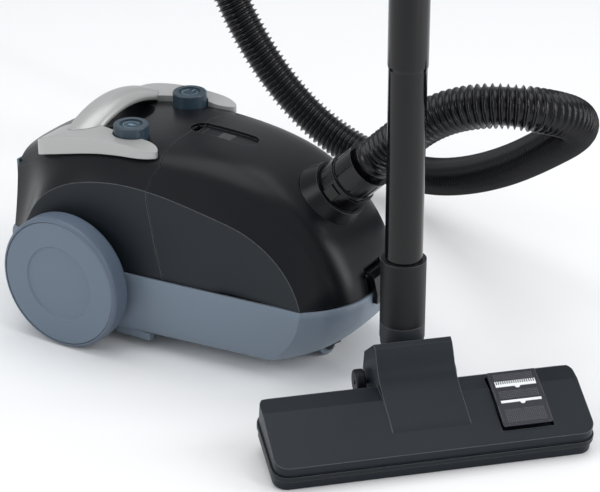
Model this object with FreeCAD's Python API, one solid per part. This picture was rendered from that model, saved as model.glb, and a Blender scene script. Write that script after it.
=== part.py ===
import FreeCAD, Part
import math
import os

# Canister vacuum cleaner with hose, two-piece wand and floor nozzle. Millimetres.
# Working frame: X forward from the rear axle, Y to the left, Z up from the floor.
# Every solid is moved at the end, so that the origin lies under the middle of the object.

V = FreeCAD.Vector
X, Y, Z = V(1, 0, 0), V(0, 1, 0), V(0, 0, 1)

# ---- driving dimensions: canister ----
wall = 2.6                  # moulded shell wall
base_wall = 3.0
split_height = 80.0         # joint between base and upper shell
side_width = 104.0          # half width of the upper shell at the axle
side_taper = 0.083          # narrowing of the half width per mm forward
side_lean = 0.05            # inward lean of the sides per mm of height
run_gap = 0.4               # clearance between parts that move past each other
joint_gap = 1.0             # visible gap of the lid seam
tail_x = -104.0             # flat rear face
fan_x, fan_z = 150.0, 60.0  # line that the nose sections fan around
floor_gap = 15.0            # ground clearance of the base
hinge_x, hinge_z = 55.0, 191.0
hinge_pin_r = 2.0

# ---- driving dimensions: wheels ----
wheel_r = 67.5
wheel_face_y = 132.0
wheel_width = 24.0
disc_r = 63.8
rim_seat_r = 57.0
axle_r = 4.0
axle_play = 0.1
caster_r = 11.0
caster_w = 9.0
caster_x = 230.0
caster_trail = 9.0
caster_turn = 255.0         # degrees, heading of the trailing caster at rest
caster_pin_r = 4.0

# ---- driving dimensions: controls and trim ----
button_x, button_y = 34.0, 50.0
button_r = 17.0
button_top = 214.0
button_stroke = 4.0
handle_x = -20.0
handle_span = 136.0
handle_rise = 21.0
handle_foot_z = 188.0
handle_w, handle_h = 34.0, 18.0
well_x, well_y, well_deep, well_z = 38.0, 40.0, 22.0, 202.0   # hand recess under the handle

# ---- driving dimensions: inlet and hose fittings ----
inlet_x, inlet_z = 237.6, 174.0
inlet_tilt = 45.0           # inlet axis above the horizontal
cuff_r = 23.5
cuff_start, cuff_end = 17.0, 45.0
bore_r = 16.5
spigot_r = 19.0
hose_d = 41.0
hose_wall = 1.8

# ---- driving dimensions: wand and handle tube ----
wand_x, wand_y = 341.3, -62.4
wand_r = 17.5
wand_wall = 1.6
collar_r = 20.8
collar_bottom, collar_top = 90.0, 152.8
tube_run = 340.0            # exposed length of each wand tube
tube_insert = 34.0
socket_step = 182.0         # height above the collar where the lower tube widens
grip_bend_r = 90.0
grip_bend = 65.0            # degrees between wand and handle end
grip_run = 110.0
grip_r = 18.6

# ---- driving dimensions: floor nozzle ----
nozzle_turn = 44.7          # degrees, heading of the nozzle's long axis
nozzle_len = 292.0
nozzle_depth = 84.0
nozzle_reach = 120.0        # wand axis to front edge
head_pitch = 12.5           # degrees that the hanging head leans onto its front edge
sole_top = 10.0
bumper_top = 15.0
shell_front = 24.0
shell_ridge = 36.5
ridge_w = 24.0              # flat strip behind the ridge
hood_w = 72.0
tilt_y, tilt_z = -6.0, 16.5
drum_r = 16.0
pedal_x, pedal_y = 86.0, -76.0
pedal_w, pedal_l = 46.0, 60.0
brush_drop = 5.0


# ---- helpers ----
def box(x0, x1, y0, y1, z0, z1):
    return Part.makeBox(x1 - x0, y1 - y0, z1 - z0, V(x0, y0, z0))


def rod(radius, start, end):
    span = end - start
    return Part.makeCylinder(radius, span.Length, start, span)


def tube(outer, inner, start, end):
    span = end - start
    over = V(span) / span.Length
    return rod(outer, start, end).cut(rod(inner, start - over, end + over))


def cone(r0, r1, start, end):
    span = end - start
    return Part.makeCone(r0, r1, span.Length, start, span)


def prism_y(points, y0, y1):
    outline = [V(x, y0, z) for x, z in points]
    face = Part.Face(Part.makePolygon(outline + outline[:1]))
    return face.extrude(V(0, y1 - y0, 0))


def spline(points):
    curve = Part.BSplineCurve()
    curve.interpolate(points)
    return curve.toShape()


def line(a, b):
    return Part.LineSegment(a, b).toShape()


def fuse_all(shapes):
    result = shapes[0]
    for other in shapes[1:]:
        result = result.fuse(other)
    return result.removeSplitter()


def cut_all(shape, tools):
    for tool in tools:
        shape = shape.cut(tool)
    return shape


def mirror_y(shape):
    return shape.mirror(V(0, 0, 0), Y)


def spin(shape, angle, centre, axis):
    moved = shape.copy()
    moved.rotate(centre, axis, angle)
    return moved


def half_width(x, z):
    return side_width - side_taper * x - side_lean * (z - split_height)


# ---- canister outer form ----
# Each section lies in a plane that holds the Y direction. A row gives the plane, then the
# arch edge, the shoulder edge and the crown, measured along the plane from its start, and
# how far the band between arch and shoulder bows.
# rear and middle sections: x, arch height, arch half width (None: from the side taper),
# shoulder height, shoulder half width, crown height, bow
LONG_ROWS = [
    (-104.0, 60.0, 71.0, 139.0, 56.0, 160.0, -4.0),
    (-88.0, 64.0, 80.0, 148.0, 61.0, 171.0, -7.0),
    (-74.0, 76.0, 95.0, 156.0, 67.0, 178.5, -9.0),
    (-60.0, 106.0, 105.0, 163.0, 73.0, 185.0, -6.0),
    (-44.0, 136.0, None, 170.0, 78.0, 190.5, -2.5),
    (-23.0, 153.5, None, 179.0, 81.0, 195.0, 0.4),
    (5.0, 165.0, None, 187.5, 79.5, 199.5, 0.8),
    (45.0, 171.0, None, 190.0, 76.5, 202.5, 0.8),
    (80.0, 169.5, None, 189.0, 74.0, 203.5, 0.8),
    (115.0, 164.0, None, 186.5, 71.5, 203.0, 0.8),
    (150.0, 156.0, None, 181.5, 69.0, 200.5, 0.8),
]
# nose sections: angle above the horizontal, then distances from the fan line
FAN_ROWS = [
    (72.0, 94.5, 117.0, 66.5, 137.5),
    (54.0, 94.5, 114.5, 64.5, 134.5),
    (38.0, 95.5, 115.5, 63.0, 132.5),
    (24.0, 96.5, 117.5, 60.0, 131.8),
    (12.0, 97.3, 119.0, 56.0, 132.3),
    (0.0, 98.0, 120.5, 52.0, 133.0),
    (-8.0, 98.5, 121.5, 49.0, 133.5),
]
FOOT = 15.0


def section_points(start, along, foot, arch, arch_y, shoulder, shoulder_y, crown, bow, inset):
    def at(distance, y):
        point = start + along * distance
        return V(point.x, y, point.z)

    if arch_y is None:
        spot = at(arch, 0)
        arch_y = half_width(spot.x, spot.z)
    foot_y = arch_y + 1.5 - inset
    arch, arch_y = arch - 0.55 * inset, arch_y - inset
    shoulder, shoulder_y = shoulder - 0.9 * inset, shoulder_y - 0.55 * inset
    crown = crown - inset
    across, rise = arch_y - shoulder_y, shoulder - arch
    length = math.hypot(across, rise)
    mid_y = (arch_y + shoulder_y) / 2 + bow * rise / length
    mid = (arch + shoulder) / 2 + bow * across / length
    climb = crown - shoulder
    half = [at(foot, foot_y), at(arch, arch_y), at(mid, mid_y), at(shoulder, shoulder_y),
            at(shoulder + 0.72 * climb, 0.84 * shoulder_y), at(crown, 0.45 * shoulder_y)]
    other = [V(p.x, -p.y, p.z) for p in reversed(half)]
    return half + other


def clamped(count, degree):
    inside = count - degree - 1
    knots = [float(i) for i in range(inside + 2)]
    return knots, [degree + 1] + [1] * inside + [degree + 1]


def skin(rows, first, last, degree):
    poles = [row[first:last + 1] if first < last else row[first:] + row[:last + 1]
             for row in rows]
    along_knots, along_mults = clamped(len(poles), 3)
    across_knots, across_mults = clamped(len(poles[0]), degree)
    surface = Part.BSplineSurface()
    surface.buildFromPolesMultsKnots(poles, along_mults, across_mults, along_knots, across_knots,
                                     False, False, 3, degree)
    return surface.toShape()


def skinned_solid(rows, spans):
    faces = [skin(rows, first, last, degree) for first, last, degree in spans]
    for row in (rows[0], rows[-1]):
        rim = []
        for first, last, degree in spans:
            poles = row[first:last + 1] if first < last else row[first:] + row[:last + 1]
            rim.append(bend_edge(poles, degree))
        faces.append(Part.Face(Part.Wire(rim)))
    shell = Part.makeShell(faces)
    shell.sewShape()
    solid = Part.makeSolid(shell)
    if solid.Volume < 0:
        solid.reverse()
    return solid


def body_form(inset, drop=0.0):
    rows = []
    for x, arch, arch_y, shoulder, shoulder_y, crown, bow in LONG_ROWS:
        if x == LONG_ROWS[0][0]:
            x = x + inset
        low = min(fan_z + FOOT, 0.75 * arch) - drop
        rows.append(section_points(V(x, 0, 0), Z, low, arch, arch_y, shoulder, shoulder_y,
                                   crown, bow, inset))
    for angle, arch, shoulder, shoulder_y, crown in FAN_ROWS:
        along = V(math.cos(math.radians(angle)), 0, math.sin(math.radians(angle)))
        rows.append(section_points(V(fan_x, 0, fan_z), along, FOOT - drop, arch, None, shoulder,
                                   shoulder_y, crown, 0.8, inset))
    spans = [(0, 1, 1), (1, 3, 2), (3, 8, 3), (8, 10, 2), (10, 11, 1), (11, 0, 1)]
    return skinned_solid(rows, spans)


def bend_edge(poles, degree):
    knots, mults = clamped(len(poles), degree)
    curve = Part.BSplineCurve()
    curve.buildFromPolesMultsKnots(poles, mults, knots, False, degree)
    return curve.toShape()


outer_form = body_form(0.0)
inner_form = body_form(wall, 6.0)
parts = {}

# ---- seam between lid and rear cover, swept across the body ----
SEAM = [(97.0, 60.0), (96.5, 80.0), (90.5, 106.0), (84.5, 136.0), (80.0, 165.0), (80.5, 180.0),
        (83.5, 188.5), (77.0, 206.0), (72.0, 222.0)]


def seam_region(shift, far_x):
    outline = [(x + shift, z) for x, z in SEAM]
    curve = spline([V(x, -150, z) for x, z in outline[:6]])
    edges = [curve]
    for (x0, z0), (x1, z1) in zip(outline[5:-1], outline[6:]):
        edges.append(line(V(x0, -150, z0), V(x1, -150, z1)))
    top, low = outline[-1], outline[0]
    edges += [line(V(top[0], -150, top[1]), V(far_x, -150, top[1])),
              line(V(far_x, -150, top[1]), V(far_x, -150, low[1])),
              line(V(far_x, -150, low[1]), V(low[0], -150, low[1]))]
    return Part.Face(Part.Wire(edges)).extrude(V(0, 300, 0))


shell_zone = box(-150, 320, -150, 150, split_height, 230)
upper_shell = outer_form.cut(inner_form).common(shell_zone)
inside_upper = inner_form.common(shell_zone)
front_zone = seam_region(joint_gap / 2, 320)
rear_zone = seam_region(-joint_gap / 2, -150)

# side panels end at the arch edge; the arch curve is traced from the section rows
arch_points = [(x, arch) for x, arch, *_ in LONG_ROWS]
for angle, arch, *_ in FAN_ROWS:
    turn = math.radians(angle)
    arch_points.append((fan_x + arch * math.cos(turn), fan_z + arch * math.sin(turn)))


def under_arch(lower):
    poles = [V(x, 0, z - lower) for x, z in arch_points]
    curve = bend_edge(poles, 3)
    first, last = poles[0], poles[-1]
    edges = [curve, line(last, V(last.x, 0, 20)), line(V(last.x, 0, 20), V(first.x, 0, 20)),
             line(V(first.x, 0, 20), first)]
    face = Part.Face(Part.Wire(edges))
    face.translate(V(0, 60, 0))
    return face.extrude(V(0, 80, 0))


arch_zone = under_arch(0.0)
arch_zones = arch_zone.fuse(mirror_y(arch_zone))
panels = upper_shell.common(arch_zones)
crown_shell = upper_shell.cut(arch_zones)

# ---- recess that straddles the seam ----
recess_x0, recess_x1, recess_half, recess_deep = 71.0, 146.0, 12.0, 3.2


def recess_plug(margin, z0, z1):
    half = recess_half + margin
    a, b = recess_x0 + recess_half, recess_x1 - recess_half
    bar = box(a, b, -half, half, z0, z1)
    return fuse_all([bar, rod(half, V(a, 0, z0), V(a, 0, z1)), rod(half, V(b, 0, z0), V(b, 0, z1))])


recess_hole = recess_plug(0.0, 185, 220)
lowered = outer_form.copy()
lowered.translate(V(0, 0, -recess_deep))
tray_floor = recess_plug(wall, 185, 220).common(lowered).cut(lowered.translated(V(0, 0, -wall)))
tray_side = recess_plug(wall, 185, 220).cut(recess_hole).common(outer_form).cut(
    lowered.translated(V(0, 0, -wall)))
tray = tray_floor.fuse(tray_side)
crown_shell = crown_shell.cut(recess_hole)

# ---- buttons' seats in the rear cover ----
seat_gap = run_gap
seats, seat_holes = [], []
for side in (-1, 1):
    spot = V(button_x, side * button_y, 0)
    seats.append(tube(button_r + seat_gap + 2.2, button_r + seat_gap, spot + Z * 182,
                      spot + Z * 204).common(outer_form))
    seat_holes.append(rod(button_r + seat_gap, spot + Z * 150, spot + Z * 230))

# ---- rear cover ----
grille_half, grille_low, grille_high = 56.0, 88.0, 148.0
vent = box(tail_x - 5, tail_x + 8, -46, 46, 96, 141)
arm_slot = box(73.0, 90.0, -8.0, 8.0, 170, 210)
pin_posts = [box(hinge_x - 5, hinge_x + 5, side * 15 - 4, side * 15 + 4, hinge_z - 5, 204)
             .common(outer_form) for side in (-1, 1)]
rear_cover = crown_shell.common(rear_zone)
rear_tray = tray.common(rear_zone).cut(arm_slot)
rear_cover = fuse_all([rear_cover, rear_tray] + seats + pin_posts)
rear_cover = cut_all(rear_cover, seat_holes + [vent, arm_slot])
hinge_pin = rod(hinge_pin_r, V(hinge_x, -19, hinge_z), V(hinge_x, 19, hinge_z))
rear_cover = rear_cover.fuse(hinge_pin)


def bowl(margin):
    ball = Part.makeSphere(1.0)
    grow = FreeCAD.Matrix()
    grow.scale(well_x + margin, well_y + margin, well_deep + margin)
    ball = ball.transformGeometry(grow)
    ball.translate(V(handle_x, 0, well_z))
    return ball


rear_cover = rear_cover.cut(bowl(0.0)).fuse(bowl(wall).cut(bowl(0.0)).common(outer_form))

rear_panels = panels.common(rear_zone)
for name, side in (("left", 1), ("right", -1)):
    half = box(-150, 320, 0, 150, 0, 230) if side > 0 else box(-150, 320, -150, 0, 0, 230)
    parts["rear_side_panel_" + name] = rear_panels.common(half)

# ---- lid ----
lid_lift = run_gap
lid_zone = front_zone.common(box(-150, 320, -150, 150, split_height + lid_lift, 230))
tilt = math.radians(inlet_tilt)
inlet_axis = V(math.cos(tilt), 0, math.sin(tilt))
inlet_mid = V(inlet_x, 0, inlet_z)


def on_inlet(distance):
    return inlet_mid + inlet_axis * distance


collar_hole = rod(30.0, on_inlet(-40), on_inlet(30))
lid_shell = crown_shell.common(lid_zone).fuse(tray.common(lid_zone)).cut(collar_hole)
arm = prism_y([(hinge_x - 3, hinge_z - 17), (hinge_x + 31, hinge_z - 17),
               (hinge_x + 31, hinge_z + 9), (hinge_x + 26, hinge_z + 9),
               (hinge_x + 26, hinge_z - 12), (hinge_x + 2.5, hinge_z - 12),
               (hinge_x + 2.5, hinge_z), (hinge_x - 3, hinge_z)], -7, 7).common(lowered)
arm = arm.fuse(rod(5.0, V(hinge_x, -7, hinge_z), V(hinge_x, 7, hinge_z)))
arm = arm.cut(rod(hinge_pin_r + 0.08, V(hinge_x, -8, hinge_z), V(hinge_x, 8, hinge_z)))
lid_shell = lid_shell.fuse(arm)
window_spot = box(104, 118, -6, 6, 180, 220)
lid_shell = lid_shell.cut(window_spot)

lid_panels = panels.common(lid_zone)
for name, side in (("left", 1), ("right", -1)):
    half = box(-150, 320, 0, 150, 0, 230) if side > 0 else box(-150, 320, -150, 0, 0, 230)
    parts["lid_side_panel_" + name] = lid_panels.common(half)

# inlet collar: a flared ring on the lid, seated round the hole
collar = cone(35.0, 29.0, on_inlet(-16), on_inlet(1.0)).fuse(
    rod(30.0, on_inlet(-34), on_inlet(-10)))
collar = collar.cut(rod(26.0, on_inlet(-12), on_inlet(5))).cut(
    rod(spigot_r, on_inlet(-40), on_inlet(0)))
ring_clear = rod(30.0, on_inlet(-60), on_inlet(20))
collar = collar.cut(inner_form.cut(ring_clear)).cut(crown_shell.cut(ring_clear))
parts["inlet_collar"] = collar

# connector: lower ring held in the collar, two spring clips, and a turning cuff on top
connector = rod(25.6, on_inlet(-11.7), on_inlet(cuff_start - 1.0))
connector = connector.fuse(rod(spigot_r, on_inlet(-34), on_inlet(-11)))
connector = connector.fuse(rod(spigot_r, on_inlet(-11), on_inlet(cuff_end - 8)))
connector = connector.cut(rod(bore_r, on_inlet(-40), on_inlet(cuff_end)))
clip_root = 19.4            # floor of the clip slots, measured from the inlet axis
clip_low, clip_high = -7.0, 15.0


def clip_block(side, margin, root, reach):
    block = Part.makeBox(clip_high - clip_low + 2 * margin, 12 + 2 * margin, 10.0,
                         V(clip_low - margin, -6 - margin, root))
    frame = FreeCAD.Placement(inlet_mid, FreeCAD.Rotation(inlet_axis, V(0, 0, 0), Y * side, "XZY"))
    block.Placement = frame.multiply(block.Placement)
    return block.common(rod(reach, on_inlet(-12), on_inlet(20)))


for name, side in (("left", 1), ("right", -1)):
    connector = connector.cut(clip_block(side, run_gap, clip_root, 40.0))
    inner = clip_block(side, 0.0, clip_root + 1.8, 25.4)
    tab = clip_block(side, 0.0, clip_root + 1.8, 27.2).cut(rod(40.0, on_inlet(-20), on_inlet(3)))
    parts["connector_clip_" + name] = inner.fuse(tab)
parts["connector_body"] = connector

cuff = rod(cuff_r, on_inlet(cuff_start), on_inlet(cuff_end))
cuff = cuff.fuse(rod(cuff_r + 2.2, on_inlet(cuff_start - 0.6), on_inlet(cuff_start + 3)))
cuff = cuff.cut(rod(spigot_r + 0.08, on_inlet(0), on_inlet(cuff_end - 8 + run_gap)))
cuff = cuff.cut(rod(bore_r, on_inlet(0), on_inlet(cuff_end - 1.5)))
for k in range(8):
    groove = Part.makeBox(cuff_end - cuff_start - 7, 2.4, 4, V(cuff_start + 4.2, -1.2, cuff_r - 1.3))
    groove.Placement = FreeCAD.Placement(
        inlet_mid, FreeCAD.Rotation(inlet_axis, Y, V(0, 0, 0), "XYZ")).multiply(
        FreeCAD.Placement(V(0, 0, 0), FreeCAD.Rotation(X, 45 * k + 22.5))).multiply(groove.Placement)
    cuff = cuff.cut(groove)
parts["hose_cuff"] = cuff

# rubber ring that closes the gap to the dust bag's plate
plate_s = -40.0
seal = tube(26.0, spigot_r, on_inlet(plate_s + 0.3), on_inlet(-34))
parts["inlet_seal"] = seal

# lens and flag of the full-bag indicator
lens = window_spot.common(lowered).cut(lowered.translated(V(0, 0, -wall)))
parts["indicator_window"] = lens
flag_x, flag_z = 108.0, 189.5
flag_travel = 7.0
flag = box(flag_x - 9, flag_x + 1, -4, 4, flag_z, flag_z + 2)
parts["indicator_flag"] = flag.fuse(box(flag_x - 9, flag_x - 6, -2, 2, flag_z - 6, flag_z + 1))
rail_top = lowered.translated(V(0, 0, -wall))
rails = []
for side in (-1, 1):
    y0, y1 = sorted((side * 4.4, side * 7.4))
    rails.append(box(94, 122, y0, y1, flag_z - 2.4, 204).common(rail_top))
    y0, y1 = sorted((side * 2.6, side * 7.4))
    rails.append(box(94, 122, y0, y1, flag_z - 2.4, flag_z - 0.4))
lid_shell = fuse_all([lid_shell] + rails)

# ---- latch at the front of the lid ----
latch_z, latch_x = 99.0, 277.5
latch_half = 15.0
pin_r = 1.8
nose_block = box(latch_x - 4, latch_x + 3, -latch_half - 5, latch_half + 5, latch_z - 4,
                 latch_z + 4).common(outer_form)
pocket = box(latch_x - 6.5, latch_x + 20, -latch_half - run_gap, latch_half + run_gap,
             split_height - 10, latch_z + 6.5)
lid_shell = lid_shell.fuse(nose_block).cut(pocket)
lid_shell = lid_shell.cut(rod(pin_r + 0.05, V(latch_x, -25, latch_z), V(latch_x, 25, latch_z)))
latch = prism_y([(latch_x - 3, latch_z - 2.6), (latch_x + 3.6, latch_z - 8),
                 (latch_x + 7.6, latch_z - 20), (latch_x + 7.6, 75.4), (latch_x - 1.0, 75.0),
                 (latch_x - 1.0, 71.6), (latch_x + 11.0, 71.6), (latch_x + 11.4, latch_z - 19),
                 (latch_x + 7.4, latch_z - 2), (latch_x + 2.4, latch_z + 3.4),
                 (latch_x - 3, latch_z + 3.0)], -latch_half, latch_half)
latch = latch.fuse(rod(pin_r, V(latch_x, -19.5, latch_z), V(latch_x, 19.5, latch_z)))
parts["lid_latch"] = latch
parts["lid_shell"] = lid_shell

# ---- base ----
# levels: height, growth of the outline beyond the upper shell, retreat of the bow, tail step
BASE_LEVELS = [
    (80.0, 0.6, 0.0, 0.0), (77.0, 1.6, 0.0, 0.0), (74.0, 2.2, 0.0, 0.0), (60.0, 2.2, 3.0, 1.0),
    (45.0, 2.0, 11.0, 3.0), (31.0, 1.2, 24.0, 7.0), (21.0, -0.5, 36.0, 11.0),
    (15.0, -5.0, 43.0, 15.0), (15.0, -14.0, 50.0, 22.0),
]


def base_form(inset, lift):
    rows = []
    for height, grow, retreat, tail in BASE_LEVELS:
        grow = grow - inset
        z = height + inset if height < 25 else height
        if height == split_height:
            z = height + lift
        x_tail = tail_x + tail - grow
        x_side = 245.0 - 0.9 * retreat
        y_side = half_width(x_side, split_height) + grow - 0.12 * retreat
        x_nose = 282.0 + grow - retreat
        half = [(x_tail, 66 + grow), (0.5 * x_tail - 38.0, 70 + grow), (-79.0, 84 + grow), (-70.0, 101 + grow),
                (-55.0, half_width(-55, split_height) + grow), (x_side, y_side),
                (x_nose - 15, 0.82 * y_side), (x_nose, 0.45 * y_side), (x_nose, 0.0)]
        row = [V(x, y, z) for x, y in half]
        rows.append(row + [V(p.x, -p.y, p.z) for p in reversed(row[:-1])])
    spans = [(0, 4, 3), (4, 5, 1), (5, 11, 3), (11, 12, 1), (12, 16, 3), (16, 0, 1)]
    return skinned_solid(rows, spans)


axle_z = wheel_r
base_outer = base_form(0.0, 0.0)
base_inner = base_form(base_wall, 1.0)
base = base_outer.cut(base_inner)
axle_in = 86.0
well_wall_y = 106.4         # inner face of the wheel wells
for side in (-1, 1):
    mid = V(0, 0, axle_z)
    guard = rod(wheel_r + 6, mid + Y * (side * (well_wall_y - 3)), mid + Y * (side * well_wall_y))
    base = base.fuse(guard.common(base_outer).common(box(-150, 320, -150, 150, 0, split_height)))
    base = base.cut(rod(wheel_r + 3, mid + Y * (side * well_wall_y), mid + Y * (side * 150)))
    base = base.fuse(rod(11.0, V(0, side * axle_in, axle_z), V(0, side * 107.0, axle_z)))
    base = base.fuse(box(38, 78, side * 88 - 4, side * 88 + 4, 9, 17))
well_r = 22.0
fork_top = 25.0
base = base.fuse(rod(well_r + 3, V(caster_x, 0, floor_gap - 1), V(caster_x, 0, fork_top + 4))
                 .common(base_outer))
base = base.fuse(rod(caster_pin_r + 4, V(caster_x, 0, fork_top + 1), V(caster_x, 0, 48)))
base = base.cut(rod(well_r, V(caster_x, 0, 5), V(caster_x, 0, fork_top + run_gap)))
base = base.cut(rod(caster_pin_r + 0.08, V(caster_x, 0, 20), V(caster_x, 0, 50)))
base = base.cut(rod(axle_r, V(0, -120, axle_z), V(0, 120, axle_z)))
screw_spots = [(-78.0, 40.0), (-78.0, -40.0), (120.0, 66.0), (120.0, -66.0), (192.0, 0.0)]
screws = []
for x, y in screw_spots:
    base = base.fuse(rod(5.5, V(x, y, floor_gap + 1), V(x, y, 34)))
    base = base.cut(rod(1.9, V(x, y, 0), V(x, y, 32)))
    base = base.cut(rod(3.6, V(x, y, 0), V(x, y, floor_gap + 3)))
    screws.append(rod(1.9, V(x, y, floor_gap + 3), V(x, y, 31)).fuse(
        rod(3.6, V(x, y, floor_gap + 0.6), V(x, y, floor_gap + 3))))
base = base.cut(box(268, 300, -latch_half - run_gap, latch_half + run_gap, 70.4, 76.4))
parts["case_screws"] = Part.makeCompound(screws)

# ---- rear wheels and their stub axles ----
stub_end = wheel_face_y - 6.0
parts["wheel_axles"] = Part.makeCompound(
    [rod(axle_r, V(0, side * axle_in, axle_z), V(0, side * stub_end, axle_z)) for side in (-1, 1)])
wheel_back = wheel_face_y - wheel_width
hub = rod(13.0, V(0, wheel_back, axle_z), V(0, wheel_face_y - 3, axle_z))
web = rod(rim_seat_r, V(0, wheel_back + 6, axle_z), V(0, wheel_face_y - 8, axle_z))
web = web.cut(rod(rim_seat_r - 4, V(0, wheel_back, axle_z), V(0, wheel_face_y - 10.5, axle_z)))
face_disc = rod(disc_r, V(0, wheel_face_y - 10.5, axle_z), V(0, wheel_face_y - 0.6, axle_z))
face_disc = face_disc.cut(rod(rim_seat_r - 2, V(0, wheel_face_y - 12, axle_z),
                              V(0, wheel_face_y - 4.6, axle_z)))
disc = fuse_all([hub, web, face_disc])
ring_r = 38.5
dish = 1.8                  # depth of the dished middle of the wheel face
step = cone(ring_r - dish, ring_r, V(0, wheel_face_y - 0.6 - dish, axle_z),
            V(0, wheel_face_y - 0.6, axle_z))
disc = disc.cut(step)
disc = disc.cut(tube(disc_r + 1, disc_r - 0.6, V(0, wheel_face_y - 2.0, axle_z),
                     V(0, wheel_face_y, axle_z)))
disc = disc.cut(rod(axle_r + axle_play, V(0, wheel_back - 1, axle_z),
                    V(0, stub_end + 0.8, axle_z)))
tyre_profile = [(disc_r, wheel_face_y), (disc_r + 0.9, wheel_face_y), (wheel_r, wheel_face_y - 5),
                (wheel_r, wheel_back + 6), (wheel_r - 4, wheel_back), (rim_seat_r, wheel_back),
                (rim_seat_r, wheel_face_y - 10.5), (disc_r, wheel_face_y - 10.5)]
p = [V(0, y, axle_z + r) for r, y in tyre_profile]
round_front = Part.Arc(p[1], V(0, wheel_face_y - 1.7, axle_z + wheel_r - 0.9), p[2]).toShape()
round_back = Part.Arc(p[3], V(0, wheel_back + 1.8, axle_z + wheel_r - 1.2), p[4]).toShape()
tyre_wire = Part.Wire([line(p[0], p[1]), round_front, line(p[2], p[3]), round_back,
                       line(p[4], p[5]), line(p[5], p[6]), line(p[6], p[7]), line(p[7], p[0])])
tyre = Part.Face(tyre_wire).revolve(V(0, 0, axle_z), Y, 360)
for name, flip in (("left", False), ("right", True)):
    parts["rear_wheel_" + name] = mirror_y(disc) if flip else disc
    parts["tyre_" + name] = mirror_y(tyre) if flip else tyre

# ---- caster ----
turn = math.radians(caster_turn)
trail = V(math.cos(turn), math.sin(turn), 0) * caster_trail
across = V(-math.sin(turn), math.cos(turn), 0)
pivot = V(caster_x, 0, 0)
hub_mid = pivot + trail + Z * caster_r
fork = rod(well_r - 2.5, pivot + Z * (fork_top - 2.6), pivot + Z * fork_top)
fork = fork.fuse(rod(caster_pin_r, pivot + Z * (fork_top - 2), pivot + Z * 46))
for side in (-1, 1):
    inner = caster_w / 2 + run_gap
    cheek = rod(5.0, hub_mid + across * (side * inner), hub_mid + across * (side * (inner + 2.6)))
    arm_box = Part.makeBox(caster_trail + 5, 2.6, 12.5)
    arm_box.translate(V(-5.0, inner if side > 0 else -inner - 2.6, caster_r - 1.0))
    arm_box = spin(arm_box, caster_turn, V(0, 0, 0), Z).translated(pivot)
    fork = fork.fuse(cheek).fuse(arm_box)
reach_pin = across * (caster_w / 2 + run_gap + 2.6)
fork = fork.fuse(rod(1.6, hub_mid - reach_pin, hub_mid + reach_pin))
parts["caster_fork"] = fork.removeSplitter()
roller = rod(caster_r, hub_mid - across * (caster_w / 2), hub_mid + across * (caster_w / 2))
edges = [e for e in roller.Edges if e.Curve.TypeId == "Part::GeomCircle"]
roller = roller.makeFillet(1.5, edges)
roller = roller.cut(rod(1.66, hub_mid - across * caster_w, hub_mid + across * caster_w))
parts["caster_wheel"] = roller
parts["base_shell"] = base.removeSplitter()

# ---- buttons, springs, switch and board ----
shelf_z = 152.0
cap_low = 190.0
stem_low = 170.5
switch_top = 166.0
spring_r, spring_wire = 8.0, 1.1


def push_button(y):
    spot = V(button_x, y, 0)
    cap = rod(button_r, spot + Z * cap_low, spot + Z * button_top)
    rim = [e for e in cap.Edges if e.Curve.TypeId == "Part::GeomCircle"
           and e.CenterOfMass.z > button_top - 1]
    cap = cap.makeFillet(1.6, rim)
    cap = cap.cut(rod(11.5, spot + Z * (button_top - 2.2), spot + Z * (button_top + 2)))
    cap = cap.cut(rod(button_r - 2.5, spot + Z * (cap_low - 1), spot + Z * (button_top - 5)))
    return cap.fuse(rod(4.5, spot + Z * stem_low, spot + Z * (button_top - 4)))


def coil_spring(y, low, high):
    pitch = 4.3
    turns = Part.makeHelix(pitch, high - low - 2 * spring_wire, spring_r)
    turns.translate(V(button_x, y, low + spring_wire))
    start = V(button_x + spring_r, y, low + spring_wire)
    ring = Part.Wire(Part.makeCircle(spring_wire, start, Y))
    return Part.Wire(turns.Edges).makePipeShell([ring], True, True)


spring_seat = button_top - 5.0
parts["power_button"] = push_button(button_y)
parts["rewind_button"] = push_button(-button_y)
parts["power_button_spring"] = coil_spring(button_y, switch_top, spring_seat)
parts["rewind_button_spring"] = coil_spring(-button_y, shelf_z, spring_seat)
parts["power_switch"] = box(button_x - 11, button_x + 11, button_y - 10, button_y + 10, shelf_z,
                            switch_top)
board_z = shelf_z + 3
board = box(16, 42, -20, 26, board_z, board_z + 1.6)
board = board.fuse(box(20, 30, -10, 4, board_z + 1.6, board_z + 11))
for x, y in ((19, -17), (39, -17), (19, 23), (39, 23)):
    board = board.fuse(rod(2.0, V(x, y, shelf_z), V(x, y, board_z)))
parts["circuit_board"] = board

# ---- bulkhead between motor room and bag room ----
motor_y, motor_z, motor_r = 20.0, 98.0, 42.0
bulk_x0, bulk_x1 = 46.0, 49.0
room = base_inner.common(box(-150, 320, -150, 150, 0, split_height)).fuse(inside_upper)
slab = box(bulk_x0, bulk_x1, -150, 150, 10, 230).common(room)
slab = slab.cut(box(40, 60, -24, 24, 181, 230))
slab = slab.cut(rod(33.0, V(40, motor_y, motor_z), V(60, motor_y, motor_z)))
filter_half = 37.0
frame = box(bulk_x1, bulk_x1 + 7, motor_y - filter_half - 3, motor_y + filter_half + 3,
            motor_z - filter_half - 3, motor_z + filter_half + 3)
frame = frame.cut(box(bulk_x1 - 1, bulk_x1 + 8, motor_y - filter_half, motor_y + filter_half,
                      motor_z - filter_half, motor_z + filter_half))
shelf = box(12, bulk_x0, -64, 66, shelf_z - 3, shelf_z)
rib = prism_y([(14, shelf_z - 3), (bulk_x0, shelf_z - 3), (bulk_x0, shelf_z - 9)], -34, -31.5)
for side in (-1, 1):
    seat = rod(button_r + 6, V(button_x, side * button_y, 176), V(button_x, side * button_y, 230))
    slab = slab.cut(seat)
parts["bulkhead"] = fuse_all([slab, frame, shelf, rib])
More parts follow.
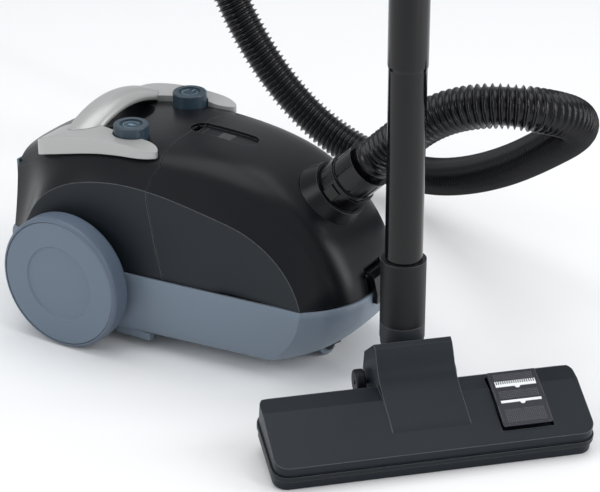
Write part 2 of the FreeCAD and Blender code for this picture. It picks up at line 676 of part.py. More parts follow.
parts["motor_filter"] = box(bulk_x1, bulk_x1 + 6, motor_y - filter_half, motor_y + filter_half,
                            motor_z - filter_half, motor_z + filter_half)

# ---- motor ----
motor_back, motor_front = -58.0, 38.0
plate_x = 10.0
shaft_r = 4.0


def on_motor(x):
    return V(x, motor_y, motor_z)


housing = tube(motor_r, motor_r - 3, on_motor(motor_back), on_motor(motor_front))
housing = housing.fuse(rod(motor_r, on_motor(motor_back), on_motor(motor_back + 4)))
housing = housing.fuse(rod(motor_r, on_motor(motor_front - 3), on_motor(motor_front)))
housing = housing.fuse(rod(motor_r, on_motor(plate_x), on_motor(plate_x + 3)))
housing = housing.fuse(rod(9.0, on_motor(motor_back - 5), on_motor(motor_back + 4)))
housing = housing.cut(rod(shaft_r + 0.06, on_motor(motor_back - 4), on_motor(plate_x + 10)))
housing = housing.cut(rod(15.0, on_motor(motor_front - 5), on_motor(motor_front + 2)))
for k in range(6):
    spot = on_motor(motor_back) + V(0, 24 * math.cos(k * math.pi / 3), 24 * math.sin(k * math.pi / 3))
    housing = housing.cut(rod(6.0, spot - X * 2, spot + X * 6))
parts["motor_housing"] = housing.removeSplitter()
rotor = rod(shaft_r, on_motor(motor_back - 4), on_motor(motor_front - 6))
rotor = rotor.fuse(rod(22.0, on_motor(-42), on_motor(-8)))
rotor = rotor.fuse(rod(12.0, on_motor(-6), on_motor(6)))
rotor = rotor.fuse(rod(35.0, on_motor(15), on_motor(17)))
rotor = rotor.fuse(tube(35.0, 14.0, on_motor(28), on_motor(30)))
for k in range(9):
    blade = box(16.5, 28.5, motor_y + 13.5, motor_y + 34, motor_z - 0.9, motor_z + 0.9)
    rotor = rotor.fuse(spin(spin(blade, 24, V(0, motor_y + 13.5, motor_z), X), 40 * k,
                            on_motor(0), X))
parts["fan_rotor"] = rotor.removeSplitter()
ring_mount = tube(motor_r + 2, 33.0, on_motor(motor_front), on_motor(bulk_x0))
pillar = box(-46, -22, motor_y - 13, motor_y + 13, floor_gap + base_wall, motor_z)
pillar = pillar.cut(rod(motor_r, on_motor(-80), on_motor(60)))
parts["motor_mounts"] = Part.makeCompound([ring_mount, pillar])

# ---- cord reel on its bracket ----
reel_x, reel_z = -12.0, 104.0
reel_y0, reel_y1 = -83.0, -43.0
reel = tube(44.0, axle_r + 0.1, V(reel_x, reel_y0, reel_z), V(reel_x, reel_y0 + 2, reel_z))
reel = reel.fuse(tube(44.0, axle_r + 0.1, V(reel_x, reel_y1 - 2, reel_z), V(reel_x, reel_y1, reel_z)))
reel = reel.fuse(tube(33.0, axle_r + 0.1, V(reel_x, reel_y0 + 1, reel_z),
                      V(reel_x, reel_y1 - 1, reel_z)))
parts["cord_reel"] = reel
bracket = box(reel_x - 14, reel_x + 14, -42.5, -39.5, floor_gap + base_wall, reel_z + 14)
bracket = bracket.fuse(rod(axle_r, V(reel_x, reel_y0 + 1, reel_z), V(reel_x, -40, reel_z)))
bracket = bracket.fuse(box(reel_x - 14, reel_x + 14, -56, -39.5, floor_gap + base_wall, 24))
parts["reel_bracket"] = bracket

# ---- dust bag, its plate and holder ----
plate_half, plate_thick = 42.0, 2.0
flat = FreeCAD.Rotation(Z, inlet_axis)


def on_plate(shape):
    moved = shape.copy()
    moved.Placement = FreeCAD.Placement(on_inlet(plate_s), flat).multiply(moved.Placement)
    return moved


plate = on_plate(box(-34, 34, -plate_half, plate_half, -plate_thick, 0))
plate = plate.cut(rod(spigot_r, on_inlet(plate_s - 5), on_inlet(plate_s + 5)))
parts["bag_plate"] = plate
bag = box(62, 218, -43, 43, 38, 148)
bag = bag.makeFillet(18.0, bag.Edges)
bag = bag.cut(on_plate(box(-200, 200, -200, 200, -plate_thick, 200)))
rails = []
for side in (-1, 1):
    y0, y1 = sorted((side * (plate_half + 0.2), side * (plate_half + 4)))
    rail = on_plate(box(-34, 34, y0, y1, -plate_thick - 3, 2))
    y2, y3 = sorted((side * (plate_half - 3), side * (plate_half + 4)))
    rail = rail.fuse(on_plate(box(-34, 34, y2, y3, -plate_thick - 3, -plate_thick)))
    leg = [V(210, side * y, z) for y, z in ((95, 52), (95, 78), (84, 78), (46, 141), (44, 141),
                                            (44, 130), (76, 72), (76, 52))]
    leg = Part.Face(Part.makePolygon(leg + leg[:1])).extrude(V(8, 0, 0)).common(room)
    leg = leg.cut(on_plate(box(-60, 60, -44, 44, -9, 60)))
    rails.append(rail.fuse(leg))
    y0, y1 = sorted((side * (plate_half - 3.4), side * (plate_half + 10)))
    bag = bag.cut(on_plate(box(-36, 36, y0, y1, -plate_thick - 3.4, 5)))
parts["bag_holder"] = Part.makeCompound(rails)
parts["dust_bag"] = bag

# ---- exhaust filter and grille door ----
filter_box = box(tail_x + wall, tail_x + wall + 8, -50, 50, 92, 145)
parts["exhaust_filter"] = filter_box.common(inner_form)
door_x0, door_x1 = tail_x - 4.6, tail_x - run_gap
door_pin_x, door_pin_z = tail_x - 2.6, 87.0
door = box(door_x0, door_x1, -53, 53, door_pin_z, 147)
door = door.makeFillet(3.0, [e for e in door.Edges if abs(e.CenterOfMass.x - door_x0) < 0.1
                             and e.CenterOfMass.z > door_pin_z + 1])
for k in range(8):
    z = 95.0 + 6.0 * k
    door = door.cut(box(door_x0 - 1, door_x1 + 1, -44, 44, z, z + 2.6))
lugs = []
for side in (-1, 1):
    y0, y1 = sorted((side * 40.0, side * 46.0))
    door = door.cut(box(door_x0 - 1, door_x1 + 1, y0 - run_gap, y1 + run_gap, 80, 90.4))
    lugs.append(box(door_x0, tail_x + 1, y0, y1, 84.4, 89.6))
barrel = rod(2.1, V(door_pin_x, -53, door_pin_z), V(door_pin_x, 53, door_pin_z))
for side in (-1, 1):
    y0, y1 = sorted((side * 40.0, side * 46.0))
    barrel = barrel.cut(box(door_x0 - 1, tail_x + 3, y0 - run_gap, y1 + run_gap, 80, 95))
door_pin = rod(1.1, V(door_pin_x, -52, door_pin_z), V(door_pin_x, 52, door_pin_z))
door = door.fuse(barrel).fuse(door_pin)
parts["exhaust_grille"] = door.removeSplitter()
rear_cover = rear_cover.fuse(fuse_all(lugs)).cut(
    rod(1.16, V(door_pin_x, -60, door_pin_z), V(door_pin_x, 60, door_pin_z)))

# ---- trim wings and carry handle ----
wing_plan = [(-66, 66), (-59, 77), (-30, 83), (10, 82.0), (46, 79.5), (68, 76), (76.5, 69),
             (71, 61), (56, 57), (36, 58), (12, 52), (-12, 45), (-40, 42), (-59, 50)]
wing_top = [(-76, 166), (-66, 181), (-50, 192), (-26, 199.5), (6, 203.5), (40, 204.5), (64, 202.5),
            (88, 197)]
wing_low = [(-76, 162), (-60, 170.5), (-44, 176), (-24, 181), (10, 188.5), (50, 192.5), (88, 194)]
ring = Part.BSplineCurve()
ring.interpolate([V(x, y, 120) for x, y in wing_plan], PeriodicFlag=True)
wing_prism = Part.Face(Part.Wire(ring.toShape())).extrude(Z * 120)
top_curve = spline([V(x, 0, z) for x, z in wing_top])
low_curve = spline([V(x, 0, z) for x, z in wing_low])
upper_zone = Part.Face(Part.Wire([top_curve, line(V(88, 0, 197), V(88, 0, 100)),
                                  line(V(88, 0, 100), V(-76, 0, 100)),
                                  line(V(-76, 0, 100), V(-76, 0, 166))])).extrude(V(0, 120, 0))
lower_zone = Part.Face(Part.Wire([low_curve, line(V(88, 0, 194), V(88, 0, 90)),
                                  line(V(88, 0, 90), V(-76, 0, 90)),
                                  line(V(-76, 0, 90), V(-76, 0, 162))])).extrude(V(0, 120, 0))
wing = wing_prism.common(upper_zone).cut(lower_zone)
wing = wing.cut(outer_form).cut(rod(button_r + 1.2, V(button_x, button_y, 150),
                                    V(button_x, button_y, 240)))
wing = max(wing.Solids, key=lambda solid: solid.Volume)
parts["trim_wing_left"] = wing
parts["trim_wing_right"] = mirror_y(wing)

span = handle_span / 2
arc_r = (span ** 2 + handle_rise ** 2) / (2 * handle_rise)
arc_z = handle_foot_z + handle_rise - arc_r
sweep = math.degrees(math.asin(span / arc_r)) + 3.0
oval = Part.Ellipse(V(handle_x, 0, arc_z + arc_r), handle_w / 2, handle_h / 2).toShape()
oval.rotate(V(handle_x, 0, arc_z + arc_r), X, 90)
oval = Part.Face(Part.Wire(oval)).copy()
grip = oval.copy()
grip.rotate(V(0, 0, arc_z), X, -sweep)
grip = grip.revolve(V(0, 0, arc_z), X, 2 * sweep)
grip = cut_all(grip, [outer_form.cut(bowl(0.0)), wing, mirror_y(wing)])
parts["carry_handle"] = max(grip.Solids, key=lambda solid: solid.Volume)
parts["rear_cover"] = rear_cover.removeSplitter()

# ---- wand ----
wand_foot = V(wand_x, wand_y, 0)


def on_wand(z):
    return wand_foot + Z * z


lower_end = collar_top - tube_insert
joint_low = collar_top + tube_run
joint_high = joint_low + tube_run
step_z = collar_top + socket_step
slim_r = wand_r - 0.3
wide_r = wand_r + 0.5
bore = wand_r - wand_wall
plug_r = wide_r - wand_wall
lower = rod(slim_r, on_wand(lower_end), on_wand(step_z)).fuse(
    cone(slim_r, wide_r, on_wand(step_z), on_wand(step_z + 3))).fuse(
    rod(wide_r, on_wand(step_z + 3), on_wand(joint_low)))
lower = lower.cut(rod(slim_r - wand_wall, on_wand(lower_end - 1), on_wand(joint_low + 1)))
lower = lower.cut(rod(plug_r, on_wand(joint_low - tube_insert), on_wand(joint_low + 1)))
parts["wand_lower"] = lower
upper = rod(plug_r, on_wand(joint_low - tube_insert), on_wand(joint_low)).fuse(
    rod(wand_r, on_wand(joint_low), on_wand(joint_high)))
upper = upper.cut(rod(plug_r - wand_wall, on_wand(joint_low - 50), on_wand(joint_high + 1)))
parts["wand_upper"] = upper
neck_top = collar_bottom + 24.0
collar_tube = tube(collar_r, slim_r, on_wand(collar_bottom), on_wand(collar_top))
parts["nozzle_collar"] = collar_tube

# bent handle tube: sleeve over the wand, bend, straight grip and a spigot for the hose cuff
heading = math.radians(nozzle_turn + 90.0)
back = V(math.cos(heading), math.sin(heading), 0)
side_axis = back.cross(Z)
sleeve_top = joint_high + 14.0
bend_low = on_wand(sleeve_top)
bend_mid = bend_low + back * grip_bend_r
bend_turn = math.radians(grip_bend)
grip_dir = back * math.sin(bend_turn) + Z * math.cos(bend_turn)
grip_start = bend_mid - back * (grip_bend_r * math.cos(bend_turn)) + Z * (
    grip_bend_r * math.sin(bend_turn))
grip_end = grip_start + grip_dir * grip_run
spigot_end = grip_end + grip_dir * 20.0


def bent(radius):
    disc_face = Part.Face(Part.Wire(Part.makeCircle(radius, bend_low, Z)))
    return disc_face.revolve(bend_mid, side_axis * -1, grip_bend)


hollow = grip_r - 2.4
handle_tube = rod(wand_r + 2.2, on_wand(joint_high - tube_insert), on_wand(sleeve_top - 8))
handle_tube = handle_tube.fuse(cone(wand_r + 2.2, grip_r, on_wand(sleeve_top - 8), bend_low))
handle_tube = fuse_all([handle_tube, bent(grip_r), rod(grip_r, grip_start, grip_end),
                        rod(grip_r - 1.4, grip_end, spigot_end)])
handle_tube = cut_all(handle_tube, [
    rod(wand_r, on_wand(joint_high - tube_insert - 1), on_wand(joint_high)),
    rod(hollow - 0.6, on_wand(joint_high - 1), bend_low), bent(hollow - 0.6),
    rod(hollow - 0.6, grip_start, grip_end), rod(hollow - 0.6, grip_end - grip_dir, spigot_end)])
grip_up = (Z - grip_dir * grip_dir.dot(Z))
grip_up = grip_up / grip_up.Length
slot_mid = grip_start + grip_dir * 40.0
slot_frame = FreeCAD.Placement(slot_mid, FreeCAD.Rotation(grip_dir, V(0, 0, 0), grip_up, "XZY"))


def on_grip(shape):
    moved = shape.copy()
    moved.Placement = slot_frame.multiply(moved.Placement)
    return moved


slide_travel = 12.0
slot_window = box(-10, 10 + slide_travel, -4.0, 4.0, grip_r - 6, grip_r + 3)
seat_flat = box(-19, 19 + slide_travel, -7.4, 7.4, grip_r - 1.0, grip_r + 4)
handle_tube = handle_tube.cut(on_grip(slot_window)).cut(on_grip(seat_flat))
parts["handle_tube"] = handle_tube
slider = box(-17, 17, -7.0, 7.0, grip_r - 0.7, grip_r + 2.2)
slider = slider.makeFillet(1.0, [e for e in slider.Edges if e.CenterOfMass.z > grip_r + 2])
slider = slider.fuse(box(-8, 8, -3.6, 3.6, grip_r - 3.2, grip_r))
for k in range(4):
    slider = slider.cut(box(-9 + 5 * k, -7 + 5 * k, -6, 6, grip_r + 1.5, grip_r + 4))
parts["suction_slider"] = on_grip(slider)
end_cuff_start = grip_end + grip_dir * 0.4
end_cuff_end = grip_end + grip_dir * 45.0
end_cuff = rod(cuff_r, end_cuff_start, end_cuff_end)
end_cuff = end_cuff.cut(rod(grip_r - 1.4 + 0.08, grip_end, spigot_end + grip_dir * run_gap))
end_cuff = end_cuff.cut(rod(bore_r, grip_end, end_cuff_end - grip_dir * 1.5))
parts["handle_cuff"] = end_cuff

# ---- hose: straight runs joined by tangent arcs, points chosen along its free course ----
hose_points = [
    on_inlet(cuff_end), on_inlet(cuff_end + hose_d), V(338, 1, 270), V(386, 5, 288),
    V(430, 26, 284), V(443, 74, 262), V(419, 126, 226), V(374, 168, 186), V(325, 206, 146),
    V(276, 243, 111), V(228, 276, 82), V(180, 305, 59), V(131, 327, 46), V(82, 338, 45),
    V(36, 340, 59), V(-5, 337, 85), V(-41, 332, 121), V(-74, 328, 166), V(-103, 327, 217),
    V(-129, 327, 280), V(-150, 327, 354), V(-165, 325, 438), V(-171, 322, 530),
    V(-165, 316, 626), V(-148, 306, 718), V(-120, 292, 802), V(-84, 273, 876),
    V(-42, 249, 936), V(4, 221, 980), V(52, 192, 1008), V(98, 163, 1022), V(140, 133, 1023),
    end_cuff_end + grip_dir * 44.0, end_cuff_end,
]


def hose_path(points):
    edges, radii, start = [], [], points[0]
    for before, corner, after in zip(points, points[1:], points[2:]):
        a, b = before - corner, after - corner
        run_a, run_b = a.Length, b.Length
        a, b = a / run_a, b / run_b
        half_turn = (math.pi - a.getAngle(b)) / 2
        radius = 0.45 * min(run_a, run_b) / math.tan(half_turn)
        reach = 0.45 * min(run_a, run_b)
        first, last = corner + a * reach, corner + b * reach
        bisect = (a + b) / (a + b).Length
        middle = corner + bisect * (radius / math.cos(half_turn) - radius)
        edges.append(line(start, first))
        edges.append(Part.Arc(first, middle, last).toShape())
        radii.append(radius)
        start = last
    edges.append(line(start, points[-1]))
    return Part.Wire(edges), radii


course, radii = hose_path(hose_points)
start_dir = hose_points[1] - hose_points[0]


def sweep(radius):
    ring = Part.Wire(Part.makeCircle(radius, hose_points[0], start_dir))
    return course.makePipeShell([ring], True, False)


hose = sweep(hose_d / 2).cut(sweep(hose_d / 2 - hose_wall))
parts["hose"] = hose
area = math.pi * hose_wall * (hose_d - hose_wall)
print("hose radii", [round(r) for r in radii])
print("hose length", round(course.Length), "volume ratio", round(hose.Volume / area / course.Length, 4))

# ---- floor nozzle, built about the wand axis: x along the head, y to its back ----
head_half = nozzle_len / 2
front_y, rear_y = -nozzle_reach, -nozzle_reach + nozzle_depth


def on_nozzle(shape):
    moved = shape.copy()
    moved.Placement = FreeCAD.Placement(wand_foot, FreeCAD.Rotation(Z, nozzle_turn)).multiply(
        moved.Placement)
    return moved


def on_head(shape):
    return on_nozzle(spin(shape, head_pitch, V(0, front_y, 0), X))


def head_plan(margin, z0, z1):
    block = box(-head_half - margin, head_half + margin, front_y - margin, rear_y + margin, z0, z1)
    uprights = [e for e in block.Edges if abs(e.Vertexes[0].Z - e.Vertexes[-1].Z) > 0.5 * (z1 - z0)]
    return block.makeFillet(13.0 + margin, uprights)


brush_rows = [front_y + 13.0, front_y + 63.0]
mouth_y0, mouth_y1 = front_y + 24.0, front_y + 50.0
sole = head_plan(0.0, 0.0, sole_top)
mouth = box(-112, 112, mouth_y0, mouth_y1, -1, sole_top + 1)
sole = sole.cut(mouth)
for y in brush_rows:
    sole = sole.cut(box(-122.0, 122.0, y - 2.0, y + 2.0, -1, sole_top + 1))
sole_open = box(-116, 116, brush_rows[1] + 6, rear_y - 3, sole_top - 6, sole_top + 1)
sole = sole.cut(sole_open)
bumper = head_plan(1.6, sole_top, bumper_top).cut(head_plan(-3.5, sole_top - 1, bumper_top + 1))


def profile_x(points, x0, x1):
    outline = [V(x0, y, z) for y, z in points]
    face = Part.Face(Part.makePolygon(outline + outline[:1]))
    return face.extrude(V(x1 - x0, 0, 0))


def head_top(thick):
    return [(front_y - 5, 0), (front_y - 5, shell_front - thick), (front_y + 3, shell_front + 1 - thick),
            (rear_y - ridge_w, shell_ridge - thick), (rear_y - 4, shell_ridge - 1 - thick),
            (rear_y + 5, shell_ridge - 8 - thick), (rear_y + 5, 0)]


head = head_plan(0.0, bumper_top, 60).common(profile_x(head_top(0.0), -200, 200))
head = head.cut(head_plan(-2.6, bumper_top - 1, 60).common(profile_x(head_top(2.6), -200, 200)))
hood_curve = [(-104, 25), (-92, 30.8), (-72, 35.4), (-54, 40.0), (-38, 48.0), (-27.5, 59.5), (-22, 64)]


def hood_solid(margin, half):
    curve = Part.BSplineCurve()
    shifted = [V(-half, y + margin * 0.8, z - margin * 0.75) for y, z in hood_curve]
    curve.interpolate(shifted)
    first, last = shifted[0], shifted[-1]
    lip = V(-half, last.y + 5, last.z + 1.5 - margin * 0.2)
    back_low = V(-half, 9.0, bumper_top)
    back_mid = V(-half, 9.0, 36.0)
    foot = V(-half, first.y, bumper_top - margin)
    if margin:
        lip = V(-half, last.y + 14, last.z + 6)
        back_mid, back_low = V(-half, 30, 40), V(-half, 30, bumper_top - margin)
    edges = [curve.toShape(), line(last, lip), line(lip, back_mid), line(back_mid, back_low),
             line(back_low, foot), line(foot, first)]
    return Part.Face(Part.Wire(edges)).extrude(V(2 * half, 0, 0))


cheek_in = 32.6
hood_out, hood_in = hood_solid(0.0, hood_w / 2), hood_solid(3.0, cheek_in)
head = head.fuse(hood_out).cut(hood_in)
head = head.cut(box(-cheek_in, cheek_in, rear_y - 3, 20, bumper_top - 5, 40))
head = head.cut(rod(2.5, V(-60, tilt_y, tilt_z), V(60, tilt_y, tilt_z)))
arms = []
wheel_y, wheel_small_r, wheel_small_w = -5.0, 12.0, 9.0
wheel_off = 2.4             # gap between hood and wheel
for side in (-1, 1):
    y0, y1 = sorted((side * cheek_in, side * hood_w / 2))
    arm_piece = box(y0, y1, rear_y - 2, wheel_y + 6, 4.0, 26.0)
    arms.append(arm_piece)
    x0, x1 = sorted((side * (hood_w / 2 - 1), side * (hood_w / 2 + wheel_off + 1 + wheel_small_w)))
    arms.append(rod(2.0, V(x0, wheel_y, wheel_small_r), V(x1, wheel_y, wheel_small_r)))
sole = cut_all(sole, arms)
bumper = cut_all(bumper, arms)
parts["sole_plate"] = on_head(sole)
parts["nozzle_bumper"] = on_head(bumper)
head = fuse_all([head] + arms)
# pedal pocket
pocket_x0, pocket_x1 = pedal_x - pedal_w / 2 - 1.2, pedal_x + pedal_w / 2 + 1.2
pocket_y0, pocket_y1 = pedal_y - pedal_l / 2 - 1.2, pedal_y + pedal_l / 2 + 1.2
head = head.cut(box(pocket_x0, pocket_x1, pocket_y0, pocket_y1, 20, 60))
cradle = box(pocket_x0 - 2, pocket_x1 + 2, pocket_y0 - 2, pocket_y1 + 2, 18.0, 60)
cradle = cradle.cut(box(pocket_x0, pocket_x1, pocket_y0, pocket_y1, 20.0, 61)).common(
    profile_x(head_top(0.4), -200, 200)).common(head_plan(-1.0, 0, 60))
pedal_pin_z = 30.0
pin_line = (V(pocket_x0 - 1.5, pedal_y, pedal_pin_z), V(pocket_x1 + 1.5, pedal_y, pedal_pin_z))
head = head.fuse(cradle).cut(rod(1.6, *pin_line))
plate_poly = [(pocket_y0 + 1.2, 29.5), (pocket_y0 + 1.2, 32.5), (pedal_y - 6, 37.5),
              (pocket_y1 - 3, 43.5), (pocket_y1 - 1.2, 43.0), (pocket_y1 - 1.2, 39.0),
              (pedal_y + 3.2, 34.5), (pedal_y + 3.2, 27.4), (pedal_y - 3.2, 27.4),
              (pedal_y - 3.2, 32.6)]
pedal = profile_x(plate_poly, pedal_x - pedal_w / 2, pedal_x + pedal_w / 2)
pedal = pedal.fuse(rod(1.5, *pin_line))
parts["pedal"] = on_head(pedal)
strips = []
for y in brush_rows:
    strips.append(box(-121.4, 121.4, y - 1.5, y + 1.5, 1.2, sole_top + 2.0))
tie_low = sole_top + brush_drop + 0.6
tie = box(40, 46, brush_rows[0] - 1.5, brush_rows[1] + 1.5, tie_low, tie_low + 2.4)
for y in brush_rows:
    tie = tie.fuse(box(40, 46, y - 1.5, y + 1.5, sole_top, tie_low + 2.4))
parts["brush_strips"] = on_head(fuse_all(strips + [tie]))
for name, side in (("left", 1), ("right", -1)):
    x0 = side * (hood_w / 2 + wheel_off)
    x1 = side * (hood_w / 2 + wheel_off + wheel_small_w)
    wheel = rod(wheel_small_r, V(x0, wheel_y, wheel_small_r), V(x1, wheel_y, wheel_small_r))
    wheel = wheel.makeFillet(1.8, [e for e in wheel.Edges if e.Curve.TypeId == "Part::GeomCircle"])
    wheel = wheel.cut(rod(2.07, V(-80, wheel_y, wheel_small_r), V(80, wheel_y, wheel_small_r)))
    parts["nozzle_wheel_" + name] = on_head(wheel)

# elbow: spigot in the collar, knuckle, slanting neck and a drum between the hood's cheeks
pin_spot = Part.Vertex(V(0, tilt_y, tilt_z))
pin_spot.rotate(V(0, front_y, 0), X, head_pitch)
drum_mid = pin_spot.Point
knuckle = V(0, 0, 72.0)
neck_r = 19.0
elbow = rod(slim_r - 0.08, V(0, 0, collar_bottom - 4), V(0, 0, neck_top))
elbow = elbow.fuse(rod(collar_r, V(0, 0, knuckle.z + 3), V(0, 0, collar_bottom - run_gap)))
elbow = elbow.fuse(Part.makeSphere(neck_r + 1.2, knuckle))
elbow = elbow.fuse(rod(neck_r, drum_mid, knuckle))
drum_half = X * (cheek_in - 0.5)
elbow = elbow.fuse(rod(drum_r, drum_mid - drum_half, drum_mid + drum_half))
passage = fuse_all([rod(14.0, V(0, 0, knuckle.z), V(0, 0, neck_top + 2)), Part.makeSphere(14.0, knuckle),
                    rod(14.0, drum_mid, knuckle), Part.makeSphere(11.0, drum_mid),
                    rod(11.0, drum_mid, drum_mid - Y * 30)])
elbow = elbow.cut(passage).cut(rod(2.6, drum_mid - X * 60, drum_mid + X * 60))
pins = [rod(2.5, V(side * (hood_w / 2), tilt_y, tilt_z), V(side * (cheek_in - 8), tilt_y, tilt_z))
        for side in (-1, 1)]
parts["nozzle_shell"] = on_head(fuse_all([head] + pins))
elbow = elbow.fuse(tube(5.0, 2.6, drum_mid - drum_half, drum_mid - X * 20))
parts["elbow"] = on_nozzle(elbow.removeSplitter())

# ---- origin: under the middle of everything but the hose ----
low, high = V(1e9, 1e9, 1e9), V(-1e9, -1e9, -1e9)
for name, shape in parts.items():
    if name == "hose":
        continue
    bounds = shape.optimalBoundingBox(False)
    low = V(min(low.x, bounds.XMin), min(low.y, bounds.YMin), min(low.z, bounds.ZMin))
    high = V(max(high.x, bounds.XMax), max(high.y, bounds.YMax), max(high.z, bounds.ZMax))
origin = V((low.x + high.x) / 2, (low.y + high.y) / 2, 0)
print("origin", round(origin.x, 3), round(origin.y, 3), round(origin.z, 3))
print("size", round(high.x - low.x, 1), round(high.y - low.y, 1), round(high.z - low.z, 1))

os.makedirs("parts", exist_ok=True)
for name, shape in parts.items():
    moved = shape.copy()
    moved.translate(origin * -1)
    moved.exportStep("parts/" + name + ".step")
print(len(parts), "nodes")
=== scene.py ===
import math

import bmesh
import bpy
from mathutils import Matrix, Vector
from mathutils import noise


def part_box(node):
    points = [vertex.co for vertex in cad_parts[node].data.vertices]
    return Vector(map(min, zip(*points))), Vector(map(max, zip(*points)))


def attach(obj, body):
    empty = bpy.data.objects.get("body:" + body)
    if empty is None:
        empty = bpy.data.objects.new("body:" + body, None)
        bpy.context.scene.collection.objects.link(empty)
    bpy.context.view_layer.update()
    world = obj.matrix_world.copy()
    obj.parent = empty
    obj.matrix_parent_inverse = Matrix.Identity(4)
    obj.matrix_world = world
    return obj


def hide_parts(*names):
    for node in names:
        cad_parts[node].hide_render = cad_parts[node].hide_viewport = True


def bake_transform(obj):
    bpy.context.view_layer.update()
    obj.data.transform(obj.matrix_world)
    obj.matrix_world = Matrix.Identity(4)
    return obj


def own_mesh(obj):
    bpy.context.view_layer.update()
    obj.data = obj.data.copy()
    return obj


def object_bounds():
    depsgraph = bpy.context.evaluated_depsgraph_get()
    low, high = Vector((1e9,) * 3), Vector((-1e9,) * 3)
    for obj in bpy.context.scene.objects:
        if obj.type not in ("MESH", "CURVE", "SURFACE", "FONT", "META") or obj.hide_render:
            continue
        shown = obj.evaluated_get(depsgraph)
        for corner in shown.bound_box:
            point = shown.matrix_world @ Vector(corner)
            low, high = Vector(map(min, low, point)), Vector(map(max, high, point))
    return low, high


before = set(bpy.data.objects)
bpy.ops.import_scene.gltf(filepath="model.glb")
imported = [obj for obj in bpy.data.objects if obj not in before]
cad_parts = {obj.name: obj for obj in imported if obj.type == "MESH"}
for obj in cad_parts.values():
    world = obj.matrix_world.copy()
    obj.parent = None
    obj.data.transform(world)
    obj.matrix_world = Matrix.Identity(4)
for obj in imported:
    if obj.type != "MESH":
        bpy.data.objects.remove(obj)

cad_low, cad_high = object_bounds()
MM = 0.001

# ---- Stand, light and camera ----
# The cleaner stands on a plain pale floor under wide, soft studio lights: one overhead, one at
# the front left, and a tall panel and a narrow strip at the right.
scene = bpy.context.scene
scene.view_settings.view_transform = "Standard"
scene.view_settings.look = "None"

camera_turn, camera_pitch = math.radians(31.52), math.radians(25.35)
camera_data = bpy.data.cameras.new("camera")
camera_data.sensor_width = 36.0
camera_data.lens = 129.47
camera_data.clip_end = 30.0
camera = bpy.data.objects.new("camera", camera_data)
camera.location = (0.96722, -1.54495, 0.99402)
camera.rotation_euler = (math.pi / 2 - camera_pitch, 0.0, camera_turn)
scene.collection.objects.link(camera)
scene.camera = camera

world = bpy.data.worlds.new("studio")
scene.world = world
world.use_nodes = True
world.node_tree.nodes["Background"].inputs["Color"].default_value = (0.93, 0.96, 1.0, 1.0)
world.node_tree.nodes["Background"].inputs["Strength"].default_value = 0.62


def soft_light(name, place, aim, width, height, watts):
    data = bpy.data.lights.new(name, "AREA")
    data.shape = "RECTANGLE"
    data.size, data.size_y = width, height
    data.energy = watts
    lamp = bpy.data.objects.new(name, data)
    lamp.location = place
    lamp.rotation_euler = (Vector(aim) - Vector(place)).to_track_quat("-Z", "Y").to_euler()
    scene.collection.objects.link(lamp)


soft_light("overhead", (-0.3, 0.2, 2.6), (0.0, 0.0, 0.1), 2.4, 2.0, 30)
soft_light("tall_panel", (2.1, 0.9, 0.9), (0.1, 0.0, 0.3), 0.7, 2.2, 26)
soft_light("tube_strip", (1.9, -0.35, 0.9), (0.2, -0.2, 0.5), 0.14, 2.4, 11)
soft_light("front_left", (-1.6, -2.0, 1.3), (0.0, 0.0, 0.15), 1.4, 1.0, 16)

floor_mesh = bmesh.new()
bmesh.ops.create_grid(floor_mesh, x_segments=1, y_segments=1, size=12.0)
floor_data = bpy.data.meshes.new("floor")
floor_mesh.to_mesh(floor_data)
floor_mesh.free()
floor = bpy.data.objects.new("floor", floor_data)
floor.location.z = cad_low.z - 0.0004
scene.collection.objects.link(floor)
floor_paint = bpy.data.materials.new("pale_floor")
floor_paint.use_nodes = True
floor_shader = floor_paint.node_tree.nodes["Principled BSDF"]
floor_shader.inputs["Base Color"].default_value = (0.9, 0.9, 0.9, 1.0)
floor_shader.inputs["Roughness"].default_value = 0.7
floor_data.materials.append(floor_paint)

# ---- Hose ----
# A blow-moulded black plastic hose with one sharp rib wound round it as a helix. It springs out
# of the inlet, loops round, runs low behind the canister and climbs to the bent handle tube.
HOSE_WIDTH = 0.041
RIB_PITCH = 0.0062
VALLEY = 0.0172
HOSE_SIDES = 26
# distance along one pitch, then height of the wall above the valley as a share of the rib
RIB_SHAPE = [(0.0, 0.0), (0.26, 0.06), (0.41, 0.72), (0.5, 1.0), (0.59, 0.72), (0.74, 0.06)]


def middle(node):
    low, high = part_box(node)
    return (Vector(low) + Vector(high)) / 2


